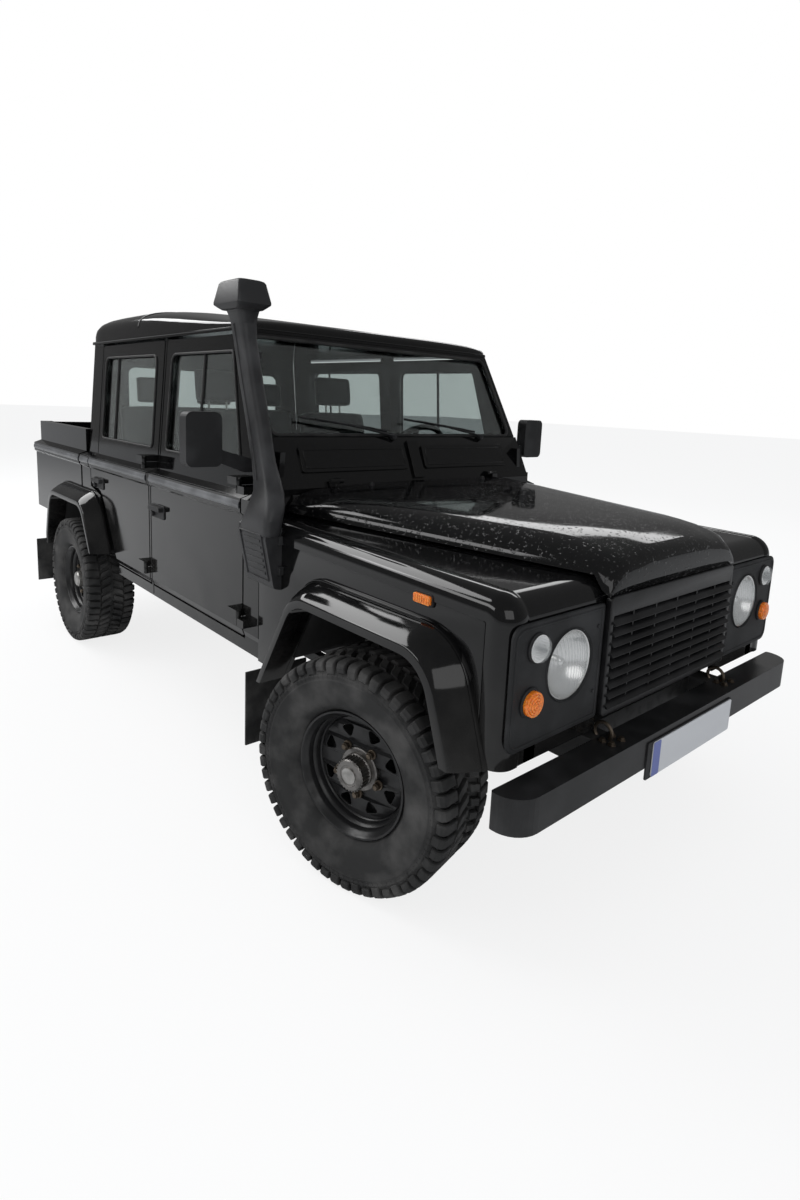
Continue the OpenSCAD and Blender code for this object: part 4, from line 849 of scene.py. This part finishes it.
def build_front():
    face = WING_X + 0.004
    headlamp = facing(face, *HEADLAMP)
    panels = Shape()
    outline = oblong(0.398, 0.692, SKIN - 0.012, 1.024, [0.012, 0.034, 0.034, 0.012])
    flat = plate(outline, [circle(*HEADLAMP, 0.099, 48)], 0.01, 0.003)
    panels.join(flat, at(face, 0, 0) @ STAND_UP)
    border = oblong(0.408, 0.702, SKIN - 0.022, 1.014, [0.01, 0.03, 0.03, 0.01])
    panels.tube([(face + 0.004, y, z) for y, z in border], 0.004, 8, loop=True)
    panels.lathe(mm((104, 3), (101, 8), (95, 0), (92, -20), (99, -20)), 48, closed=True,
                 place=facing(face + 0.002, *HEADLAMP))
    for z in (0.775, 0.965):
        panels.lathe(mm((1, 4), (6, 6), (5, 9), (1, 9.5)), 12,
                     place=facing(face, 0.425, z))
    piece("lamp_surrounds", panels.both(), GREY, stands_for="lamp_panels")

    bowls, lenses, amber, rings = Shape(), Shape(), Shape(), Shape()
    bowls.lathe(mm((92, 0), (88, -6), (78, -22), (58, -40), (30, -52), (1, -56), (1, -58), (31, -54),
                   (60, -42), (80, -24), (93.5, -2)), 64, closed=True,
                place=headlamp)
    bowls.lathe(mm((91.5, -1), (94.5, 3), (98, 3), (98, -1)), 64, closed=True,
                place=headlamp)
    bowls.lathe(mm((1, -55), (12, -50), (14, -24), (10, -18), (1, -17)), 24,
                place=headlamp)
    lens = mm((91.5, 0), (90, 6), (80, 12.5), (62, 18), (40, 22.5), (18, 24.5), (0.8, 25))
    lenses.lathe([(q, t - 0.004) for q, t in reversed(lens)] + lens, 72, place=headlamp)
    for k in range(-6, 7):
        dy = 0.0128 * k
        chord = sqrt(0.086 ** 2 - dy * dy)
        rib = []
        for j in range(13):
            dz = chord * (j / 6 - 1)
            bulge = 0.025 * sqrt(max(0.0, 1 - (dy * dy + dz * dz) / 0.0915 ** 2))
            rib.append((face - 0.004 + bulge, HEADLAMP[0] + dy, HEADLAMP[1] + dz))
        lenses.tube(rib, 0.0013, 6)
    for (y, z), keep in ((SIDE_LAMP, lenses), (INDICATOR, amber)):
        lamp = facing(face + 0.003, y, z)
        rings.lathe(mm((1, 0), (40, 0), (40.5, 7), (37, 10), (1, 10)), 40, place=lamp)
        for r in (0.034, 0.027, 0.02, 0.013, 0.006):
            h = 0.022 + 0.008 * (1 - (r / 0.036) ** 2)
            step = [(r, 0.008), (r, h - 0.002), (r - 0.0015, h), (max(0.0005, r - 0.0065), h),
                    (max(0.0004, r - 0.007), 0.008)]
            keep.lathe(step, 40, place=lamp)
    repeater = oblong(aft(-0.207), 1.014, aft(-0.273), 1.04, 0.006)
    amber.prism(repeater, "Y", SKIN + 0.004, SKIN + 0.013)
    for k in range(7):
        x = aft(-0.213 - 0.009 * k)
        amber.box((x - 0.0025, SKIN + 0.012, 1.018), (x + 0.0025, SKIN + 0.0145, 1.036))
    bowls.lathe(mm((36.5, 10.5), (36.5, 12.5), (1, 12.5), (1, 10.5)), 32, closed=True,
                place=facing(face + 0.003, *SIDE_LAMP))
    rings.prism(oblong(aft(-0.201), 1.008, aft(-0.279), 1.046, 0.01), "Y", SKIN - 0.004, SKIN + 0.006)
    red = Shape()
    for z, keep in ((0.8, red), (0.9, lenses), (1.00, amber)):
        m = at(BED_REAR_X, 0.748, z) @ turned(90, "Z")
        rings.lathe(mm((1, 0), (43, 0), (43, 6), (1, 6)), 36, place=m)
        keep.lathe(dome(0.039, 0.019), 40, place=m @ at(0, 0.004, 0))
    piece("headlamp_bowls", bowls.both(), CHROME, angle=60)
    piece("clear_lenses", lenses.both(), FLUTED, stands_for="lamps", angle=60)
    piece("amber_lenses", amber.both(), AMBER, bevel=0.0006, angle=50)
    piece("red_lenses", red.both(), RED, angle=50)
    piece("lamp_bases", rings.both(), PLASTIC, bevel=0.0008)

    s = Shape()
    half, z0, z1 = 0.385, 0.69, 1.04
    opening = oblong(-half + 0.014, z0 + 0.016, half - 0.014, z1 - 0.052, 0.006)
    surround = plate(oblong(-half, z0, half, z1, 0.012), [opening], 0.02, 0.003)
    s.join(surround, at(WING_X + 0.012, 0, 0) @ STAND_UP)
    slats = 9
    pitch = (z1 - z0 - 0.072) / slats
    for k in range(slats):
        z = z0 + 0.022 + k * pitch
        lean = [(WING_X + x, z + rise) for x, rise in mm((4, 21), (30, 8), (34, 1), (31, -1), (4, 14))]
        s.prism(lean, "Y", -half + 0.01, half - 0.01)
    for y in (-0.26, -0.13, 0.0, 0.13, 0.26):
        s.box((WING_X + 0.002, y - 0.003, z0 + 0.014), (WING_X + 0.02, y + 0.003, z1 - 0.05))
    s.box((WING_X - 0.004, -half + 0.01, z0 + 0.01), (WING_X + 0.002, half - 0.01, z1 - 0.01))
    piece("grille_slats", s, GRILLE, stands_for="grille", bevel=0.0012)


def build_bumper():
    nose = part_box("front_bumper")[1][0]
    bolts = Shape()
    for y in (0.335, 0.385):
        for x in (nose - 0.0725, nose - 0.0425):
            m = at(x, y, 0.62) @ turned(90, "X")
            bolts.lathe(mm((1, 0), (13, 0), (13, 3), (9, 4), (9, 10), (1, 11)), 6, place=m)
    eye = [(x, 0.36, z) for x, z in circle(nose - 0.0875, 0.636, 0.028, 20)]
    bolts.tube(eye, 0.006, 8, loop=True)
    piece("bumper_bolts", bolts.both(), NUT, bevel=0.0006)
    s = Shape().prism(oblong(-0.225, 0.486, 0.295, 0.596, 0.008), "X", nose - 0.001, nose + 0.003)
    piece("number_plate_blank", s, PLATE, bevel=0.0008)
    s = Shape().prism(oblong(-0.2245, 0.4865, -0.183, 0.5955, 0.006), "X", nose + 0.0025, nose + 0.0036)
    piece("number_plate_band", s, BAND)
    s = Shape().prism(oblong(-0.252, 0.482, 0.299, 0.6, 0.006), "X", nose - 0.006, nose - 0.0005)
    piece("number_plate_backing", s, PLASTIC, bevel=0.001)


# ---------- snorkel
def build_snorkel():
    levels = mm((1070, 592, 836, 100, 34), (1100, 580, 838, 98, 36), (1128, 566, 839, 92, 37),
                (1155, 564, 831, 86, 38), (1181, 566, 822, 78, 38), (1217, 584, 806, 64, 37),
                (1255, 614, 795, 58, 35), (1322, 655, 787, 50, 31), (1465, 704, 785, 50, 31),
                (1609, 755, 785, 50, 31), (1754, 800, 785, 49, 31), (1810, 806, 788, 52, 35),
                (1836, 797, 795, 57, 40), (1858, 788, 802, 64, 46))

    def ring(d, y, z, a, b, r):
        return [(u, v, z) for u, v in oblong(aft(d) - a, y - b, aft(d) + a, y + b, r, 5)]
    s = Shape().loft([ring(d, y, z, a, b, min(b * 0.72, 0.03)) for z, d, y, a, b in levels])
    for side in (-1, 1):
        groove = [(aft(d) - 0.2 * a, y + side * (b + 0.0005), z) for z, d, y, a, b in levels[6:12]]
        s.tube(groove, 0.0035, 6)
    head = mm((1854, 72, 52, 20), (1864, 90, 61, 18), (1872, 98, 68, 12), (1880, 97.5, 67.5, 10),
              (1944, 81, 55.5, 10), (1951, 77, 52, 14), (1955, 68, 45, 20))
    s.loft([ring(0.775, 0.812, z, a, b, r) for z, a, b, r in head])
    wedge = [(SKIN + y, z) for y, z in mm((-2, 872), (30, 880), (66, 1060), (64, 1098), (-2, 1098))]
    wedge = rounded(wedge, [0, 0.015, 0.02, 0.01, 0], 4)
    s.prism(wedge, "X", aft(0.695), aft(0.5))
    for k in range(6):
        z = 0.925 + 0.024 * k
        y = SKIN + 0.03 + 0.036 * (z - 0.88) / 0.18
        s.box((aft(0.66), y - 0.012, z), (aft(0.54), y + 0.004, z + 0.01))
    frame_line = [(aft(d), SKIN + 0.031 + 0.036 * (z - 0.88) / 0.18, z) for d, z in
                  ((0.675, 0.905), (0.525, 0.905), (0.525, 1.075), (0.675, 1.075))]
    s.tube(frame_line, 0.004, 6, loop=True)
    for z in (0.93, 1.04):
        for d in (0.7, 0.495):
            s.box((aft(d) - 0.008, SKIN - 0.002, z), (aft(d) + 0.008, SKIN + 0.016, z + 0.03))
    s.box((aft(0.83), 0.715, 1.69), (aft(0.8), 0.77, 1.715))
    s = on_side(s, "right")
    piece("snorkel_shell", s, SNORKEL, stands_for="snorkel", angle=30, bevel=0.002)


# ---------- screens, doors, small fittings
DOOR_X = (aft(0.785), aft(0.785) - 0.91)
REAR_DOOR_X = (DOOR_X[1] - 0.034, CAB_REAR_X + 0.164)
WINDOW_Z = (1.28, 1.727)


def leaning(points, out=0.0):
    """Points drawn in X and Z, laid on the leaning side of the cab."""
    return [(x, side_y(z) + out, z) for x, z in points]


def window_outlines():
    low, top = WINDOW_Z
    front = [(DOOR_X[0] - 0.112, low), (screen_x(top) - 0.108, top), (DOOR_X[1] + 0.068, top),
             (DOOR_X[1] + 0.058, low)]
    rear = [(REAR_DOOR_X[0] - 0.072, low), (REAR_DOOR_X[0] - 0.082, top), (REAR_DOOR_X[1] + 0.058, top),
            (REAR_DOOR_X[1] + 0.058, low)]
    return rounded(front, [0.026, 0.026, 0.04, 0.026]), rounded(rear, [0.026, 0.04, 0.04, 0.026])


def build_doors():
    outlines = dict(zip(("front", "rear"), window_outlines()))
    low, top = WINDOW_Z
    for end, (x0, x1) in (("front", DOOR_X), ("rear", REAR_DOOR_X)):
        seal = Shape().tube(leaning(outlines[end], 0.001), 0.006, 8, loop=True)
        bar_x = x1 + 0.058 + (0.33 if end == "front" else 0.17)
        bar = [(bar_x, z) for z in (low, top)]
        seal.tube(leaning(bar, -0.012), 0.008, 8)
        handle = Shape()
        hx, hz = (aft(1.606), 0.993) if end == "front" else (aft(2.45), 1.03)
        backing = oblong(hx - 0.075, hz - 0.032, hx + 0.075, hz + 0.032, 0.012)
        handle.prism(backing, "Y", SKIN - 0.002, SKIN + 0.006)
        lever = oblong(hx - 0.062, hz + 0.004, hx + 0.068, hz + 0.026, 0.008)
        handle.prism(lever, "Y", SKIN + 0.005, SKIN + 0.028)
        handle.lathe(mm((1, 0), (14, 0), (14, 12), (10, 16), (1, 16)), 20,
                     place=at(hx - 0.045, SKIN + 0.004, hz - 0.014))
        strip = capping_strip(x1 + 0.006, x0 - 0.006)
        for key in ("left", "right"):
            body = "%s_door_%s" % (end, key)
            piece(body + "_seals", on_side(seal, key), SEAL, body, angle=60)
            piece(body + "_handle", on_side(handle, key), PLASTIC, body, bevel=0.003)
            piece(body + "_capping", on_side(strip, key), CAPPING, body, bevel=0.001)
    strips = capping_strip(CAB_REAR_X, REAR_DOOR_X[1] - 0.012)
    strips.join(capping_strip(BED_REAR_X + 0.0025, CAB_REAR_X - 0.027))
    piece("body_capping", strips.both(), CAPPING, bevel=0.001)


def capping_strip(x0, x1):
    y = SKIN + 0.012
    return Shape().prism([(y - 0.008, 1.118), (y + 0.003, 1.127), (y + 0.006, 1.137), (y + 0.004, 1.148),
                          (y - 0.001, 1.159), (y - 0.01, 1.17)], "X", x0, x1)


def build_screen():
    low, top = 1.407, 1.785
    half0, half1 = side_y(1.4) - 0.036, side_y(1.804) - 0.03
    ring = rounded([(-half0, low), (half0, low), (half1, top), (-half1, top)], 0.04, 8)
    seal = Shape().tube([(screen_x(z) - 0.004, y, z) for y, z in ring], 0.0085, 8, loop=True)
    back = oblong(-0.52, 1.33, 0.52, 1.7, 0.05)
    seal.tube([(CAB_REAR_X + 0.002, y, z) for y, z in back], 0.009, 8, loop=True)
    seal.prism(oblong(BULKHEAD_X - 0.001, 1.15, BULKHEAD_X + 0.0095, 1.186, 0.004), "Y", -0.66, 0.66)
    piece("screen_seals", seal, SEAL, angle=60)
    wipers = Shape()
    for pivot, tip in ((-0.1, -0.56), (0.46, 0.0)):
        z = 1.402
        wipers.lathe(mm((1, 0), (16, 0), (13, 20), (1, 24)), 16,
                     place=at(screen_x(z) + 0.006, pivot, z) @ turned(-90, "Z"))
        mid = (pivot + tip) / 2
        arm = [(screen_x(z) + 0.026, pivot, z + 0.004), (screen_x(1.425) + 0.024, pivot - 0.09, 1.425),
               (screen_x(1.452) + 0.018, mid, 1.452)]
        wipers.tube(arm, 0.0055, 6)
        blade = [(tip + (pivot - 0.02 - tip) * k / 6, 1.478 - 0.052 * k / 6) for k in range(7)]
        wipers.tube([(screen_x(h) + 0.008, y, h) for y, h in blade], 0.005, 6)
        wipers.tube([(screen_x(h) + 0.016, y, h + 0.002) for y, h in blade[1:6]], 0.004, 6)
    piece("wipers", wipers, PLASTIC)
    vents = Shape()
    lean = atan2(aft(0.752) + 0.008 - BULKHEAD_X, 1.4 - 1.208)
    m = at(BULKHEAD_X, 0, 1.208) @ Matrix.Rotation(lean, 4, "Y")
    for y0, y1 in ((-0.6, -0.05), (0.05, 0.6)):
        vents.prism(oblong(y0, 0.062, y1, 0.17, 0.012), "X", -0.002, 0.009, m)
        border = oblong(y0 + 0.018, 0.078, y1 - 0.018, 0.154, 0.01)
        vents.tube([m @ Vector((0.009, y, z)) for y, z in border], 0.0025, 6, loop=True)
    vents.box((-0.002, -0.03, 0.02), (0.012, 0.03, 0.19), m)
    piece("scuttle_vents", vents, PAINT, bevel=0.002)
    jets = Shape()
    for y in (-0.33, 0.33):
        jets.lathe(mm((1, 0), (12, 0), (9, 16), (1, 18)), 14,
                   place=at(BULKHEAD_X + 0.07, y, 1.2135) @ turned(90, "X"))
    piece("washer_jets", jets, PLASTIC, "bonnet")


def build_mirrors():
    low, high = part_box("mirror_left")
    s = Shape()
    x = low[0]
    s.prism(oblong(0.892, 1.3, 1.008, 1.476, 0.018), "X", x - 0.0015, x + 0.002)
    shell = Shape()
    border = oblong(0.886, 1.294, 1.014, 1.482, 0.022)
    shell.tube([(x + 0.001, y, z) for y, z in border], 0.004, 8, loop=True)
    for key in ("left", "right"):
        piece("mirror_%s_glass" % key, on_side(s, key), CHROME, "front_door_" + key)
        piece("mirror_%s_rim" % key, on_side(shell, key), PLASTIC, "front_door_" + key)


# ---------- cab
def cushion(width, depth, height, crown, channels=0, n=14):
    """A padded block: rounded sides that pull in at the corners, a crowned top with sewn channels."""
    s = Shape()
    rings = []
    for j in range(n + 1):
        t = -1 + 2 * j / n
        edge = (1 - abs(t) ** 4) ** 0.25 if abs(t) < 1 else 0.0
        edge = max(edge, 0.12)
        ring = []
        for k in range(32):
            a = 2 * pi * k / 32
            cx, cz = cos(a), sin(a)
            u = copysign(abs(cx) ** 0.35, cx) * depth / 2 * (0.9 + 0.1 * edge)
            v = copysign(abs(cz) ** 0.45, cz) * height / 2 * edge
            if cz > 0:
                v += crown * (1 - t * t) * (1 - (2 * u / depth) ** 2)
                if channels:
                    v -= 0.006 * exp(-((((t + 1) / 2 * channels) % 1 - 0.5) / 0.09) ** 2)
            ring.append((u, t * width / 2, v))
        rings.append(ring)
    return s.loft(rings)


def build_seats():
    for key, y in (("left", 0.37), ("right", -0.37)):
        s = Shape()
        m = at(aft(1.48), y, 0)
        s.join(cushion(0.47, 0.5, 0.13, 0.018, 5), m @ at(0.0, 0, 0.945))
        back = m @ at(-0.335, 0, 1.225) @ turned(78, "Y") @ turned(180, "Z")
        s.join(cushion(0.46, 0.5, 0.11, 0.022, 5), back)
        s.join(cushion(0.24, 0.16, 0.085, 0.012), m @ at(-0.385, 0, 1.595) @ turned(82, "Y"))
        o = piece("front_seat_%s" % key, s, FABRIC, stands_for="front_seats", angle=70)
        posts = Shape()
        for dy in (-0.05, 0.05):
            posts.tube([(aft(1.48) - 0.37, y + dy, 1.45), (aft(1.48) - 0.385, y + dy, 1.56)], 0.006, 8)
        posts.box((aft(1.48) - 0.2, y - 0.21, 0.872), (aft(1.48) + 0.2, y + 0.21, 0.89))
        piece("front_seat_%s_frame" % key, posts, STEEL, bevel=0.003)
    s = Shape()
    m = at(CAB_REAR_X, 0, 0)
    s.join(cushion(1.18, 0.46, 0.11, 0.016, 9, 40), m @ at(0.295, 0, 0.975))
    back = m @ at(0.115, 0, 1.235) @ turned(80, "Y") @ turned(180, "Z")
    s.join(cushion(1.18, 0.46, 0.09, 0.016, 9, 40), back)
    for y in (-0.38, 0, 0.38):
        s.join(cushion(0.23, 0.15, 0.06, 0.008), m @ at(0.095, y, 1.56) @ turned(84, "Y"))
    o = piece("rear_seat_padding", s, FABRIC, stands_for="rear_seat", angle=70)


def build_springs():
    s = Shape()
    front_x = 0.5 * (wheel_frame("front_left").translation.x + wheel_frame("front_right").translation.x)
    for x, y, low, high in ((front_x, 0.462, 0.462, 0.665), (REAR_X, 0.448, 0.462, 0.622)):
        turns, n = 5, 100
        coil = [(x + 0.048 * cos(2 * pi * turns * k / n), y + 0.048 * sin(2 * pi * turns * k / n),
                 low + 0.009 + (high - low - 0.018) * k / n) for k in range(n + 1)]
        s.tube(coil, 0.0075, 8)
        mid = (low + high) / 2
        strut = [(0.001, low), (0.024, low), (0.024, mid), (0.012, mid), (0.012, high), (0.001, high)]
        s.lathe(strut, 24, place=at(x, y, 0) @ turned(90, "X"))
    piece("coil_springs", s.both(), SPRING, stands_for="springs_and_dampers", angle=50)


def build_bed():
    s = Shape()
    s.prism(oblong(-0.62, 0.9, 0.62, 1.26, 0.02), "X", BED_REAR_X - 0.005, BED_REAR_X + 0.001)
    border = oblong(-0.6, 0.92, 0.6, 1.24, 0.02)
    s.tube([(BED_REAR_X - 0.005, y, z) for y, z in border], 0.005, 6, loop=True)
    for y in (-0.64, 0.64):
        loop = mm((7.5, 1270), (14.5, 1250), (14.5, 1190), (7.5, 1170))
        pull = [(BED_REAR_X - out, y, z) for out, z in loop]
        s.tube(pull, 0.007, 8)
    piece("tailgate_pressing", s, PAINT, "tailgate", bevel=0.003)


SHARP = {"cab_glass", "front_glass_left", "front_glass_right", "rear_glass_left", "rear_glass_right"}
WIDE = {"front_bumper": 0.006, "mirror_left": 0.014, "mirror_right": 0.014, "dashboard": 0.012,
        "steering_wheel": 0.004, "mudflaps": 0.002, "windscreen_frame": 0.005, "bulkhead": 0.005}


def dress_cad():
    for part in frame["record"]["subparts"]:
        o = NODES[part["node"]]
        o.data.materials.clear()
        o.data.materials.append(SLOT_LOOK[part["material_slot"]])
        if part["node"] not in SHARP:
            o.modifiers.new("weld", "WELD").merge_threshold = 0.00002
            round_edges(o, WIDE.get(part["node"], 0.003), 40)


for step in (dress_cad, aim_camera, light_scene, lay_floor, build_wheels, build_flares, build_wings,
             build_bonnet, build_roof, build_front, build_bumper, build_snorkel, build_doors, build_screen,
             build_mirrors, build_seats, build_springs, build_bed):
    step()
